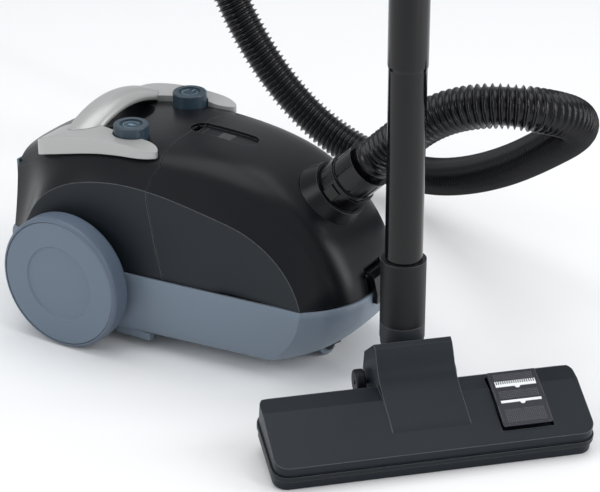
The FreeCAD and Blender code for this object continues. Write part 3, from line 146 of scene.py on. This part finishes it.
# the axle's middle, dropped to the floor: sizes on the canister are counted from here
axle_spot = middle("wheel_axles")
axle_spot.z = 0.0
wand_spot = middle("nozzle_collar")
wand_spot.z = 0.0
inlet_lean = math.radians(45.0)
inlet_line = Vector((math.cos(inlet_lean), 0.0, math.sin(inlet_lean)))
inlet_spot = axle_spot + Vector((0.2376, 0.0, 0.174))
hose_start = inlet_spot + inlet_line * 0.045
back_turn, grip_lean = math.radians(134.7), math.radians(65.0)
wand_back = Vector((math.cos(back_turn), math.sin(back_turn), 0.0))
grip_line = wand_back * math.sin(grip_lean) + Vector((0, 0, math.cos(grip_lean)))
bend_radius = 0.09
bend_low = wand_spot + Vector((0, 0, 0.8468))
grip_start = (bend_low + wand_back * (bend_radius * (1 - math.cos(grip_lean)))
              + Vector((0, 0, bend_radius * math.sin(grip_lean))))
hose_end = grip_start + grip_line * 0.155
COURSE = [
    (0.338, 0.001, 0.270), (0.386, 0.005, 0.288), (0.430, 0.026, 0.284), (0.443, 0.074, 0.262),
    (0.419, 0.126, 0.226), (0.374, 0.168, 0.186), (0.325, 0.206, 0.146), (0.276, 0.243, 0.111),
    (0.228, 0.276, 0.082), (0.180, 0.305, 0.059), (0.131, 0.327, 0.046), (0.082, 0.338, 0.045),
    (0.036, 0.340, 0.059), (-0.005, 0.337, 0.085), (-0.041, 0.332, 0.121),
    (-0.074, 0.328, 0.166), (-0.103, 0.327, 0.217), (-0.129, 0.327, 0.280),
    (-0.150, 0.327, 0.354), (-0.165, 0.325, 0.438), (-0.171, 0.322, 0.530),
    (-0.165, 0.316, 0.626), (-0.148, 0.306, 0.718), (-0.120, 0.292, 0.802),
    (-0.084, 0.273, 0.876), (-0.042, 0.249, 0.936), (0.004, 0.221, 0.980),
    (0.052, 0.192, 1.008), (0.098, 0.163, 1.022), (0.140, 0.133, 1.023),
]
route = [hose_start, inlet_spot + inlet_line * (0.045 + HOSE_WIDTH)]
route += [axle_spot + Vector(point) for point in COURSE]
route += [hose_end + grip_line * 0.044, hose_end]


def smooth_line(name, points):
    """The points of a smooth line led by the given points, as a list of vectors."""
    data = bpy.data.curves.new(name, "CURVE")
    data.dimensions = "3D"
    data.resolution_u = 24
    strand = data.splines.new("NURBS")
    strand.points.add(len(points) - 1)
    for spot, point in zip(strand.points, points):
        spot.co = (*point, 1.0)
    strand.order_u = 3
    strand.use_endpoint_u = True
    holder = bpy.data.objects.new(name, data)
    mesh = bpy.data.meshes.new_from_object(holder)
    line = [vertex.co.copy() for vertex in mesh.vertices]
    bpy.data.objects.remove(holder)
    bpy.data.curves.remove(data)
    bpy.data.meshes.remove(mesh)
    return line


hose_line = smooth_line("hose_line", route)


def stations(line, distances):
    """Place and direction on a line at each distance along it."""
    result, walked, index = [], 0.0, 0
    step = (line[1] - line[0]).length
    for distance in distances:
        while walked + step < distance and index < len(line) - 2:
            walked += step
            index += 1
            step = (line[index + 1] - line[index]).length
        run = (line[index + 1] - line[index]).normalized()
        result.append((line[index] + run * (distance - walked), run))
    return result


def add_object(name, mesh_or_bmesh, material, smooth=True):
    if isinstance(mesh_or_bmesh, bmesh.types.BMesh):
        data = bpy.data.meshes.new(name)
        mesh_or_bmesh.to_mesh(data)
        mesh_or_bmesh.free()
    else:
        data = mesh_or_bmesh
    for face in data.polygons:
        face.use_smooth = smooth
    if material:
        data.materials.append(material)
    item = bpy.data.objects.new(name, data)
    scene.collection.objects.link(item)
    return item


def block(mesh, x0, x1, y0, y1, low, high, taper=0.0):
    """A box in millimetres; low and high give the heights of its y0 and y1 edges."""
    corners = []
    for pair, inward in ((low, 0.0), (high, taper)):
        for x, y, end in ((x0 + inward, y0 + inward, 0), (x1 - inward, y0 + inward, 0),
                          (x1 - inward, y1 - inward, 1), (x0 + inward, y1 - inward, 1)):
            corners.append(mesh.verts.new(Vector((x, y, pair[end])) * MM))
    for ring in ((3, 2, 1, 0), (4, 5, 6, 7), (0, 1, 5, 4), (1, 2, 6, 5), (2, 3, 7, 6), (3, 0, 4, 7)):
        mesh.faces.new([corners[index] for index in ring])


hose_length = sum((b - a).length for a, b in zip(hose_line, hose_line[1:]))
pitches = int(hose_length / RIB_PITCH) - 2
rib_pitch = hose_length / (pitches + 1)
distances, heights = [], []
for turn in range(pitches):
    for share, height in RIB_SHAPE:
        distances.append((turn + share) * rib_pitch)
        heights.append(VALLEY + (HOSE_WIDTH / 2 - VALLEY) * height)
# every ring leads round by one pitch, so that the rings join up as one helix
per_turn = len(RIB_SHAPE)
samples = []
for distance in distances:
    samples += [distance + rib_pitch * side / HOSE_SIDES for side in range(HOSE_SIDES)]
order = sorted(range(len(samples)), key=lambda index: samples[index])
placed = [None] * len(samples)
across = Vector((0, 1, 0))
for index, (place, run) in zip(order, stations(hose_line, [samples[i] for i in order])):
    across = (across - run * across.dot(run)).normalized()
    placed[index] = (place, across.copy(), run.cross(across))
hose_mesh = bmesh.new()
rings = []
for ring, height in enumerate(heights):
    row = []
    for side in range(HOSE_SIDES):
        place, a, b = placed[ring * HOSE_SIDES + side]
        angle = 2 * math.pi * side / HOSE_SIDES
        row.append(hose_mesh.verts.new(place + (a * math.cos(angle) + b * math.sin(angle)) * height))
    rings.append(row)
for ring in range(len(rings) - 1):
    for side in range(HOSE_SIDES):
        here, there = rings[ring], rings[ring + 1]
        if side + 1 < HOSE_SIDES:
            hose_mesh.faces.new((here[side], here[side + 1], there[side + 1], there[side]))
        elif ring + 1 + per_turn < len(rings):
            hose_mesh.faces.new((here[side], rings[ring + per_turn][0],
                                 rings[ring + 1 + per_turn][0], there[side]))
bmesh.ops.holes_fill(hose_mesh, edges=hose_mesh.edges, sides=0)
# the ribs run out into a short plain end, which is pushed into the cuff
END_LENGTH, END_RADIUS = 0.016, 0.0193
for tip, run in ((hose_start, inlet_line), (hose_end, grip_line)):
    turned = run.to_track_quat("Z", "Y").to_matrix().to_4x4()
    bmesh.ops.create_cone(hose_mesh, cap_ends=True, segments=HOSE_SIDES, radius1=END_RADIUS,
                          radius2=END_RADIUS, depth=END_LENGTH,
                          matrix=Matrix.Translation(tip + run * END_LENGTH / 2) @ turned)
bmesh.ops.recalc_face_normals(hose_mesh, faces=hose_mesh.faces)


def surface_group(name, inputs, outputs):
    """An empty node group with the named inputs and outputs, and its two end nodes."""
    group = bpy.data.node_groups.new(name, "ShaderNodeTree")
    for label, kind, value in inputs:
        socket = group.interface.new_socket(label, in_out="INPUT", socket_type=kind)
        if value is not None:
            socket.default_value = value
    for label, kind in outputs:
        group.interface.new_socket(label, in_out="OUTPUT", socket_type=kind)
    entry = group.nodes.new("NodeGroupInput")
    leave = group.nodes.new("NodeGroupOutput")
    return group, entry, leave


def node(tree, kind, settings=None, **values):
    """A new node with its settings and its unlinked input values."""
    item = tree.nodes.new(kind)
    for key, value in (settings or {}).items():
        setattr(item, key, value)
    for key, value in values.items():
        item.inputs[key.replace("_", " ")].default_value = value
    return item


# Moulded plastic: a faint spark-eroded grain from the tool, slow changes of tone and gloss over
# a wide face, and edges that the tool rounds, painted lighter: partly handling wear, partly a
# painted highlight.
FLOAT, COLOUR, VECTOR = "NodeSocketFloat", "NodeSocketColor", "NodeSocketVector"
moulded, given, shown = surface_group(
    "moulded_surface",
    [("Colour", COLOUR, None), ("Tone Change", FLOAT, 0.1), ("Roughness", FLOAT, 0.4),
     ("Gloss Change", FLOAT, 0.06), ("Grain Size", FLOAT, 1500.0), ("Grain Depth", FLOAT, 0.1),
     ("Edge Radius", FLOAT, 0.0006), ("Edge Rub", FLOAT, 0.3)],
    [("Colour", COLOUR), ("Roughness", FLOAT), ("Normal", VECTOR)])
join = moulded.links.new
place = node(moulded, "ShaderNodeTexCoord")
drift = node(moulded, "ShaderNodeTexNoise", Scale=7.0, Detail=3.0)
grain = node(moulded, "ShaderNodeTexNoise", Detail=2.0)
round_edge = node(moulded, "ShaderNodeBevel", {"samples": 4})
flat = node(moulded, "ShaderNodeNewGeometry")
bump = node(moulded, "ShaderNodeBump", Distance=0.0002)
turn_cosine = node(moulded, "ShaderNodeVectorMath", {"operation": "DOT_PRODUCT"})
# edge mask: where the rounded normal turns from the flat one, the colour is painted lighter toward
# pale grey, partly as wear and partly as a painted highlight
wear_and_highlight_mask = node(moulded, "ShaderNodeMapRange", From_Min=0.995, From_Max=0.8, To_Min=0.0, To_Max=1.0)
wear_and_highlight_share = node(moulded, "ShaderNodeMath", {"operation": "MULTIPLY"})
swing = node(moulded, "ShaderNodeMath", {"operation": "SUBTRACT"})
swing.inputs[1].default_value = 0.5
tone = node(moulded, "ShaderNodeMath", {"operation": "MULTIPLY_ADD"})
tone.inputs[2].default_value = 1.0
shaded = node(moulded, "ShaderNodeVectorMath", {"operation": "SCALE"})
lighter = node(moulded, "ShaderNodeMix", {"data_type": "RGBA"})
lighter.inputs[7].default_value = (0.5, 0.52, 0.55, 1.0)
gloss = node(moulded, "ShaderNodeMath", {"operation": "MULTIPLY_ADD"})
join(place.outputs["Object"], drift.inputs["Vector"])
join(place.outputs["Object"], grain.inputs["Vector"])
join(given.outputs["Grain Size"], grain.inputs["Scale"])
join(given.outputs["Edge Radius"], round_edge.inputs["Radius"])
join(grain.outputs["Fac"], bump.inputs["Height"])
join(given.outputs["Grain Depth"], bump.inputs["Strength"])
join(round_edge.outputs["Normal"], bump.inputs["Normal"])
join(round_edge.outputs["Normal"], turn_cosine.inputs[0])
join(flat.outputs["Normal"], turn_cosine.inputs[1])
join(turn_cosine.outputs["Value"], wear_and_highlight_mask.inputs["Value"])
join(wear_and_highlight_mask.outputs["Result"], wear_and_highlight_share.inputs[0])
join(given.outputs["Edge Rub"], wear_and_highlight_share.inputs[1])
join(drift.outputs["Fac"], swing.inputs[0])
join(swing.outputs["Value"], tone.inputs[0])
join(given.outputs["Tone Change"], tone.inputs[1])
join(given.outputs["Colour"], shaded.inputs[0])
join(tone.outputs["Value"], shaded.inputs["Scale"])
join(shaded.outputs["Vector"], lighter.inputs[6])
join(wear_and_highlight_share.outputs["Value"], lighter.inputs["Factor"])
join(swing.outputs["Value"], gloss.inputs[0])
join(given.outputs["Gloss Change"], gloss.inputs[1])
join(given.outputs["Roughness"], gloss.inputs[2])
join(lighter.outputs[2], shown.inputs["Colour"])
join(gloss.outputs["Value"], shown.inputs["Roughness"])
join(bump.outputs["Normal"], shown.inputs["Normal"])


def plastic(name, colour, roughness, metal=0.0, coat=0.0, shine=0.5, **surface):
    """A moulded finish; surface sets the moulded group's other inputs."""
    finish = bpy.data.materials.new(name)
    finish.use_nodes = True
    tree = finish.node_tree
    shader = tree.nodes["Principled BSDF"]
    skin = tree.nodes.new("ShaderNodeGroup")
    skin.node_tree = moulded
    skin.inputs["Colour"].default_value = (*colour, 1.0)
    skin.inputs["Roughness"].default_value = roughness
    for label, value in surface.items():
        skin.inputs[label.replace("_", " ")].default_value = value
    shader.inputs["Metallic"].default_value = metal
    shader.inputs["Coat Weight"].default_value = coat
    shader.inputs["Specular IOR Level"].default_value = shine
    for label, target in (("Colour", "Base Color"), ("Roughness", "Roughness"),
                          ("Normal", "Normal")):
        tree.links.new(skin.outputs[label], shader.inputs[target])
    return finish


def dress(finish, *names):
    for name in names:
        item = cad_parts[name]
        for slot in item.material_slots:
            slot.material = finish


hose_black = plastic("hose_black", (0.0035, 0.0035, 0.0045), 0.22, shine=0.32, Tone_Change=0.2,
                     Grain_Size=500.0, Grain_Depth=0.05, Edge_Radius=0.0, Edge_Rub=0.0)
hose = add_object("ribbed_hose", hose_mesh, hose_black)
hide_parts("hose")
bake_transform(hose)

# ---- Canister shells ----
# The crown of the lid and the rear cover are satin black; the side panels are matte charcoal
# with a fine grain. All are injection moulded ABS, split along one dark seam.
crown_black = plastic("crown_black", (0.0055, 0.0062, 0.008), 0.3, shine=0.2, Tone_Change=0.25,
                      Gloss_Change=0.08, Grain_Size=2600.0, Grain_Depth=0.05, Edge_Rub=0.3)
charcoal = plastic("side_charcoal", (0.0125, 0.016, 0.020), 0.46, shine=0.26, Tone_Change=0.15,
                   Grain_Size=1700.0, Grain_Depth=0.12, Edge_Radius=0.0009, Edge_Rub=0.45)
dress(crown_black, "lid_shell", "rear_cover", "inlet_collar")
dress(charcoal, "rear_side_panel_left", "rear_side_panel_right", "lid_side_panel_left",
      "lid_side_panel_right")
base_grey = plastic("base_bluegrey", (0.15, 0.19, 0.24), 0.4, shine=0.4, Tone_Change=0.1,
                    Grain_Size=1700.0, Grain_Depth=0.1, Edge_Radius=0.001, Edge_Rub=0.3)
dress(base_grey, "base_shell", "caster_wheel")
smoked = plastic("smoked_lens", (0.01, 0.011, 0.013), 0.12, Grain_Depth=0.0)
dress(smoked, "indicator_window")
flag_green = plastic("flag_green", (0.05, 0.3, 0.1), 0.5)
dress(flag_green, "indicator_flag")

# ---- Rear wheels ----
# Each wheel is a blue-grey disc with a shallow stepped centre, pressed into a soft tyre of the
# same colour; a dark joint line runs between the two.
wheel_grey = plastic("wheel_bluegrey", (0.125, 0.165, 0.215), 0.36, shine=0.4, Tone_Change=0.1,
                     Grain_Size=1500.0, Grain_Depth=0.08, Edge_Radius=0.0006, Edge_Rub=0.25)
tyre_grey = plastic("tyre_bluegrey", (0.095, 0.125, 0.17), 0.45, shine=0.4, Tone_Change=0.12,
                    Grain_Size=1100.0, Grain_Depth=0.15, Edge_Radius=0.0012, Edge_Rub=0.2)
dress(wheel_grey, "rear_wheel_left", "rear_wheel_right")
dress(tyre_grey, "tyre_left", "tyre_right")

# ---- Knobs ----
# Two foot-sized slate-blue push knobs with a dished top; a raised ring and mark in the dish
# tell power from cord rewind.
slate = plastic("knob_slate", (0.024, 0.045, 0.065), 0.34, Tone_Change=0.12, Grain_Size=1500.0,
                Grain_Depth=0.08, Edge_Radius=0.0008, Edge_Rub=0.35)
dress(slate, "power_button", "rewind_button")


def knob_mark(name, node_name, body, arc, bars):
    """A raised open ring with bars across, standing in the dish of a knob."""
    centre = middle(node_name)
    centre.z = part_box(node_name)[1][2] - 0.0022
    mesh = bmesh.new()
    ring_radius, half_width, rise, steps = 7.6, 0.55, 0.9, 40
    first, last = arc
    rows = []
    for step in range(steps + 1):
        angle = math.radians(first + (last - first) * step / steps)
        ray = Vector((math.cos(angle), math.sin(angle), 0))
        row = []
        for radius, height in ((ring_radius - half_width, -0.3), (ring_radius + half_width, -0.3),
                               (ring_radius + half_width * 0.7, rise),
                               (ring_radius - half_width * 0.7, rise)):
            row.append(mesh.verts.new((ray * radius + Vector((0, 0, height))) * MM))
        rows.append(row)
    for here, there in zip(rows, rows[1:]):
        for corner in range(4):
            after = (corner + 1) % 4
            mesh.faces.new((here[corner], here[after], there[after], there[corner]))
    mesh.faces.new(rows[0])
    mesh.faces.new(list(reversed(rows[-1])))
    for x0, x1, y0, y1 in bars:
        block(mesh, x0, x1, y0, y1, (-0.3, -0.3), (rise, rise), 0.1)
    bmesh.ops.recalc_face_normals(mesh, faces=mesh.faces)
    mesh.transform(Matrix.Translation(centre))
    mark = add_object(name, mesh, knob_pale, smooth=False)
    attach(mark, body)


knob_pale = plastic("knob_mark", (0.12, 0.19, 0.24), 0.4, Tone_Change=0.05, Edge_Radius=0.0002)
knob_mark("power_mark", "power_button", "power_knob", (125, 415), [(-0.6, 0.6, 3.2, 9.6)])
knob_mark("rewind_mark", "rewind_button", "rewind_knob", (40, 320),
          [(-3.0, 2.6, -2.2, 2.2), (2.4, 5.6, -1.6, -0.6), (2.4, 5.6, 0.6, 1.6)])

# ---- Trim and carry handle ----
# The wings and the carry handle are satin silver; the handle's underside is painted near-black as
# shade.
silver = plastic("trim_silver", (0.44, 0.44, 0.43), 0.33, metal=0.35, Tone_Change=0.08,
                 Grain_Size=3000.0, Grain_Depth=0.05, Edge_Radius=0.0012, Edge_Rub=0.2)
dress(silver, "trim_wing_left", "trim_wing_right")
silver_with_painted_shade = silver.copy()
silver_with_painted_shade.name = "handle_silver_painted_shade_below"
tones = silver_with_painted_shade.node_tree
skin = next(item for item in tones.nodes if item.type == "GROUP")
upward = node(tones, "ShaderNodeSeparateXYZ")
facing = node(tones, "ShaderNodeNewGeometry")
# faces that point down are painted near-black and not metallic: painted shade under the handle
underside_shade = node(tones, "ShaderNodeMapRange", From_Min=-0.42, From_Max=-0.30, To_Min=1.0, To_Max=0.0)
underside_shade_mix = node(tones, "ShaderNodeMix", {"data_type": "RGBA"})
underside_shade_mix.inputs[7].default_value = (0.008, 0.008, 0.009, 1.0)
gloss_mix = node(tones, "ShaderNodeMix", {"data_type": "FLOAT"})
gloss_mix.inputs[3].default_value = 0.0
shader = tones.nodes["Principled BSDF"]
tones.links.new(facing.outputs["Normal"], upward.inputs[0])
tones.links.new(upward.outputs["Z"], underside_shade.inputs["Value"])
tones.links.new(underside_shade.outputs["Result"], underside_shade_mix.inputs[0])
tones.links.new(skin.outputs["Colour"], underside_shade_mix.inputs[6])
tones.links.new(underside_shade_mix.outputs[2], shader.inputs["Base Color"])
tones.links.new(underside_shade.outputs["Result"], gloss_mix.inputs[0])
gloss_mix.inputs[2].default_value = 0.35
tones.links.new(gloss_mix.outputs[0], shader.inputs["Metallic"])
dress(silver_with_painted_shade, "carry_handle")

# ---- Exhaust grille ----
grille_teal = plastic("grille_teal", (0.07, 0.135, 0.15), 0.4, Tone_Change=0.1,
                      Edge_Radius=0.0008, Edge_Rub=0.3)
dress(grille_teal, "exhaust_grille")

# ---- Tubes and cuffs ----
gloss_black = plastic("tube_black", (0.0022, 0.0022, 0.0028), 0.13, shine=0.36, Tone_Change=0.1,
                      Gloss_Change=0.04, Grain_Size=300.0, Grain_Depth=0.01,
                      Edge_Radius=0.0005, Edge_Rub=0.2)
dress(gloss_black, "wand_lower", "wand_upper", "handle_tube", "connector_body",
      "connector_clip_left", "connector_clip_right", "hose_cuff", "handle_cuff", "lid_latch")
matte_black = plastic("collar_black", (0.0065, 0.007, 0.008), 0.45, shine=0.28, Grain_Size=1800.0,
                      Grain_Depth=0.15, Edge_Rub=0.35)
dress(matte_black, "nozzle_collar", "suction_slider", "bulkhead", "reel_bracket", "bag_holder",
      "motor_mounts", "caster_fork", "power_switch", "cord_reel", "inlet_seal")

# ---- Floor nozzle ----
nozzle_black = plastic("nozzle_dark", (0.007, 0.0105, 0.0155), 0.4, shine=0.24, Tone_Change=0.15,
                       Grain_Size=1900.0, Grain_Depth=0.14, Edge_Radius=0.001, Edge_Rub=0.4)
dress(nozzle_black, "nozzle_shell", "sole_plate")
bumper_black = plastic("bumper_rubber", (0.006, 0.0085, 0.012), 0.45, shine=0.26, Edge_Radius=0.0007)
dress(bumper_black, "nozzle_bumper", "nozzle_wheel_left", "nozzle_wheel_right")
elbow_grey = plastic("elbow_grey", (0.027, 0.031, 0.036), 0.5, shine=0.3, Grain_Size=1300.0,
                     Grain_Depth=0.25, Tone_Change=0.2)
dress(elbow_grey, "elbow")
# The head hangs from the parked wand and leans onto its front edge.
head_turn, head_pitch = math.radians(44.7), math.radians(12.5)
HEAD_FRONT = -0.120
hinge_front = Vector((0, HEAD_FRONT, 0))
to_head = (Matrix.Translation(wand_spot) @ Matrix.Rotation(head_turn, 4, "Z")
           @ Matrix.Translation(hinge_front) @ Matrix.Rotation(head_pitch, 4, "X")
           @ Matrix.Translation(-hinge_front))


# The pedal is a rocking plate. Three fields of fine square studs grip the shoe; between them
# stand two white marks, one with bristle-like teeth and one plain, each with a small bump.
PEDAL_X, PEDAL_HALF = 86.0, 23.0
PEDAL_PROFILE = [(-106.0, 29.5), (-106.0, 32.0), (-82.0, 37.0), (-47.8, 43.0), (-46.0, 42.5),
                 (-46.0, 39.0), (-72.8, 34.5), (-79.2, 32.6)]


def pedal_height(y):
    return 37.0 + (y + 82.0) * (0.2083 if y < -82.0 else 0.1754)


pedal_mesh = bmesh.new()
sides = []
for x in (PEDAL_X - PEDAL_HALF, PEDAL_X + PEDAL_HALF):
    sides.append([pedal_mesh.verts.new(Vector((x, y, z)) * MM) for y, z in PEDAL_PROFILE])
pedal_mesh.faces.new(sides[0])
pedal_mesh.faces.new(list(reversed(sides[1])))
for index in range(len(PEDAL_PROFILE)):
    after = (index + 1) % len(PEDAL_PROFILE)
    pedal_mesh.faces.new((sides[0][after], sides[0][index], sides[1][index], sides[1][after]))
bmesh.ops.bevel(pedal_mesh, geom=pedal_mesh.edges[:], offset=1.1 * MM, segments=3, affect="EDGES",
                clamp_overlap=True)
STUD, STUD_STEP, STUD_RISE, STUD_SINK, STUD_COLUMNS = 1.0, 1.75, 0.45, 0.3, 21
for field_low, field_high in ((-103.0, -87.5), (-77.5, -68.5), (-57.0, -49.5)):
    rows = int((field_high - field_low) / STUD_STEP)
    for row in range(rows):
        y = field_low + (row + 0.5) * STUD_STEP
        for column in range(STUD_COLUMNS):
            x = PEDAL_X + (column - (STUD_COLUMNS - 1) / 2) * STUD_STEP
            ends = [pedal_height(y - STUD / 2), pedal_height(y + STUD / 2)]
            block(pedal_mesh, x - STUD / 2, x + STUD / 2, y - STUD / 2, y + STUD / 2,
                  [end - STUD_SINK for end in ends], [end + STUD_RISE for end in ends], 0.2)
bmesh.ops.recalc_face_normals(pedal_mesh, faces=pedal_mesh.faces)
pedal_mesh.transform(to_head)
pedal_navy = plastic("pedal_navy", (0.0065, 0.0075, 0.015), 0.36, shine=0.4, Edge_Radius=0.0005,
                     Edge_Rub=0.3)
pedal_plate = add_object("rocker_pedal", pedal_mesh, pedal_navy, smooth=False)
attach(pedal_plate, "pedal_rocker")
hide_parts("pedal")

marks = bmesh.new()
# the marks stand a little above the pedal and are let into it, in millimetres
MARK_HALF, MARK_SINK, MARK_RISE = 19.0, 0.3, 0.5


def mark_bar(y0, y1):
    """A white bar across the pedal with a half-round bump on its front edge."""
    ends = [pedal_height(y0), pedal_height(y1)]
    block(marks, PEDAL_X - MARK_HALF, PEDAL_X + MARK_HALF, y0, y1,
          [end - MARK_SINK for end in ends], [end + MARK_RISE for end in ends], 0.1)
    centre, steps, radius = PEDAL_X + 1.0, 12, 2.6
    rim = []
    for lift in (-MARK_SINK, MARK_RISE):
        ring = []
        for step in range(steps + 1):
            angle = math.pi * step / steps
            y = y0 + 0.3 - radius * math.sin(angle)
            ring.append(marks.verts.new(Vector((centre + radius * math.cos(angle), y,
                                                pedal_height(y) + lift)) * MM))
        rim.append(ring)
    marks.faces.new(rim[0])
    marks.faces.new(list(reversed(rim[1])))
    for step in range(steps):
        marks.faces.new((rim[0][step + 1], rim[0][step], rim[1][step], rim[1][step + 1]))
    marks.faces.new((rim[0][0], rim[0][steps], rim[1][steps], rim[1][0]))


mark_bar(-64.6, -61.8)
mark_bar(-82.4, -79.8)
TEETH = 19
for tooth in range(TEETH):
    x = PEDAL_X + (tooth - (TEETH - 1) / 2) * 2.05
    ends = [pedal_height(-62.2), pedal_height(-58.4)]
    block(marks, x - 0.5, x + 0.5, -62.2, -58.4, [end - MARK_SINK for end in ends],
          [end + MARK_RISE for end in ends], 0.05)
bmesh.ops.recalc_face_normals(marks, faces=marks.faces)
marks.transform(to_head)
mark_white = plastic("mark_white", (0.78, 0.79, 0.8), 0.5, Tone_Change=0.05, Edge_Radius=0.0)
pedal_marks = add_object("pedal_marks", marks, mark_white, smooth=False)
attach(pedal_marks, "pedal_rocker")

# ---- Bristle strips ----
# Two rows of stiff black bristle in tufts, each set in a thin strip; a bridge above the mouth
# ties the strips, so that they drop together.
BRISTLE_ROWS = (HEAD_FRONT / MM + 13.0, HEAD_FRONT / MM + 63.0)
BRISTLE_HALF, TUFT_STEP = 119.5, 3.3
bristles = bmesh.new()
STRIP_HALF, STRIP_LOW, STRIP_HIGH = 121.0, 8.6, 11.8
HAIRS = 7
for row_index, row_y in enumerate(BRISTLE_ROWS):
    block(bristles, -STRIP_HALF, STRIP_HALF, row_y - 1.4, row_y + 1.4, (STRIP_LOW, STRIP_LOW),
          (STRIP_HIGH, STRIP_HIGH))
    tufts = int(2 * BRISTLE_HALF / TUFT_STEP)
    for tuft in range(tufts + 1):
        x = -BRISTLE_HALF + tuft * 2 * BRISTLE_HALF / tufts
        for hair in range(HAIRS):
            turn = 2.4 * hair + tuft
            reach = 0.22 * hair
            sway = noise.noise(Vector((x * 0.31, hair * 1.7, row_index * 9.0)))
            foot_x, foot_y = x + reach * math.cos(turn), row_y + 0.7 * reach * math.sin(turn)
            tip_x, tip_y = foot_x + 0.7 * sway, row_y + 0.85 * reach * math.sin(turn)
            tip_z = 1.5 + 0.5 * abs(sway)
            ring_top, ring_low = [], []
            for corner in range(4):
                angle = math.pi / 2 * corner
                dx, dy = math.cos(angle), math.sin(angle)
                ring_top.append(bristles.verts.new(Vector((foot_x + 0.22 * dx, foot_y + 0.22 * dy,
                                                           8.9)) * MM))
                ring_low.append(bristles.verts.new(Vector((tip_x + 0.13 * dx, tip_y + 0.13 * dy,
                                                           tip_z)) * MM))
            bristles.faces.new(ring_top)
            bristles.faces.new(list(reversed(ring_low)))
            for corner in range(4):
                after = (corner + 1) % 4
                bristles.faces.new((ring_top[after], ring_top[corner], ring_low[corner],
                                    ring_low[after]))
TIE_LOW = 15.6
block(bristles, 40.0, 46.0, BRISTLE_ROWS[0] - 1.5, BRISTLE_ROWS[1] + 1.5, (TIE_LOW, TIE_LOW),
      (TIE_LOW + 2.4, TIE_LOW + 2.4))
for row_y in BRISTLE_ROWS:
    block(bristles, 40.2, 45.8, row_y - 1.3, row_y + 1.3, (11.0, 11.0),
          (TIE_LOW + 0.4, TIE_LOW + 0.4))
bmesh.ops.recalc_face_normals(bristles, faces=bristles.faces)
bristles.transform(to_head)
bristle_black = plastic("bristle_black", (0.008, 0.008, 0.009), 0.7, Edge_Radius=0.0)
bristle_rows = add_object("bristle_rows", bristles, bristle_black, smooth=False)
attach(bristle_rows, "brushes")
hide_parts("brush_strips")

# ---- Inner metal, paper and board ----
steel = plastic("bright_steel", (0.55, 0.56, 0.57), 0.28, metal=1.0)
dress(steel, "wheel_axles", "case_screws", "power_button_spring", "rewind_button_spring")
# each knob's coil spring gets its own copy of its mesh
for knob in ("power_button", "rewind_button"):
    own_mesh(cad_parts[knob + "_spring"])
cast = plastic("cast_alloy", (0.45, 0.45, 0.46), 0.5, metal=1.0, Grain_Size=900.0,
               Grain_Depth=0.3)
dress(cast, "motor_housing", "fan_rotor")
paper = plastic("filter_paper", (0.62, 0.56, 0.45), 0.85, Grain_Size=700.0, Grain_Depth=0.4,
                Tone_Change=0.3, Edge_Radius=0.0)

# The dust bag is a slack paper bag with folded gussets, glued to its card plate.
bag_low, bag_high = (Vector(corner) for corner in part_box("dust_bag"))
bag_mid, bag_half = (bag_low + bag_high) / 2, (bag_high - bag_low) / 2
bag_mesh = bmesh.new()
bmesh.ops.create_cube(bag_mesh, size=2.0)
bmesh.ops.subdivide_edges(bag_mesh, edges=bag_mesh.edges[:], cuts=31, use_grid_fill=True)
for vertex in bag_mesh.verts:
    at = vertex.co.copy()
    length = (abs(at.x) ** 5 + abs(at.y) ** 5 + abs(at.z) ** 5) ** 0.2
    at /= length
    gusset = 0.07 * math.exp(-(at.z / 0.16) ** 2) * (1 - abs(at.x) ** 6)
    slack = 0.035 * noise.noise(Vector((at.x * 2.2, at.y * 2.2, at.z * 2.2)))
    crease = 0.012 * noise.noise(Vector((at.x * 9.0, at.y * 3.0, at.z * 9.0)))
    at.y *= 0.975 - gusset - abs(slack) - abs(crease)
    at.x *= 0.985 - abs(slack) - abs(crease)
    at.z *= 0.985 - abs(slack) * 0.5
    vertex.co = Vector((bag_mid[i] + at[i] * bag_half[i] for i in range(3)))
plate_mid = middle("bag_plate") - inlet_line * 0.001
bmesh.ops.bisect_plane(bag_mesh, geom=bag_mesh.verts[:] + bag_mesh.edges[:] + bag_mesh.faces[:],
                       plane_co=plate_mid - inlet_line * 0.0004, plane_no=inlet_line,
                       clear_outer=True)
bmesh.ops.holes_fill(bag_mesh, edges=bag_mesh.edges, sides=0)
bmesh.ops.recalc_face_normals(bag_mesh, faces=bag_mesh.faces)
bag = add_object("paper_bag", bag_mesh, paper)
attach(bag, "chassis")
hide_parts("dust_bag")


def pleated(name, node_name, pleats):
    """A pleated filter mat that fills the node's box, folded across its width."""
    low, high = (Vector(corner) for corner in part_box(node_name))
    steps = pleats * 6
    mesh = bmesh.new()
    rows = []
    for step in range(steps + 1):
        y = low.y + (high.y - low.y) * step / steps
        wave = abs((step / 6) % 1 * 2 - 1)
        room = high.x - low.x
        front = low.x + room * 0.62 * wave
        back = front + room * 0.36
        rows.append([mesh.verts.new((front, y, low.z)), mesh.verts.new((back, y, low.z)),
                     mesh.verts.new((back, y, high.z)), mesh.verts.new((front, y, high.z))])
    for here, there in zip(rows, rows[1:]):
        for corner in range(4):
            after = (corner + 1) % 4
            mesh.faces.new((here[corner], here[after], there[after], there[corner]))
    mesh.faces.new(rows[0])
    mesh.faces.new(list(reversed(rows[-1])))
    bmesh.ops.recalc_face_normals(mesh, faces=mesh.faces)
    mat = add_object(name, mesh, foam, smooth=False)
    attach(mat, "chassis")
    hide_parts(node_name)


foam = plastic("filter_foam", (0.3, 0.31, 0.3), 0.9, Grain_Size=900.0, Grain_Depth=0.5,
               Tone_Change=0.2, Edge_Radius=0.0)
pleated("motor_filter_mat", "motor_filter", 14)
pleated("exhaust_filter_mat", "exhaust_filter", 20)
card = plastic("card", (0.4, 0.3, 0.19), 0.8, Grain_Size=900.0, Grain_Depth=0.3)
dress(card, "bag_plate")
board_green = plastic("board_green", (0.02, 0.12, 0.05), 0.4)
dress(board_green, "circuit_board")
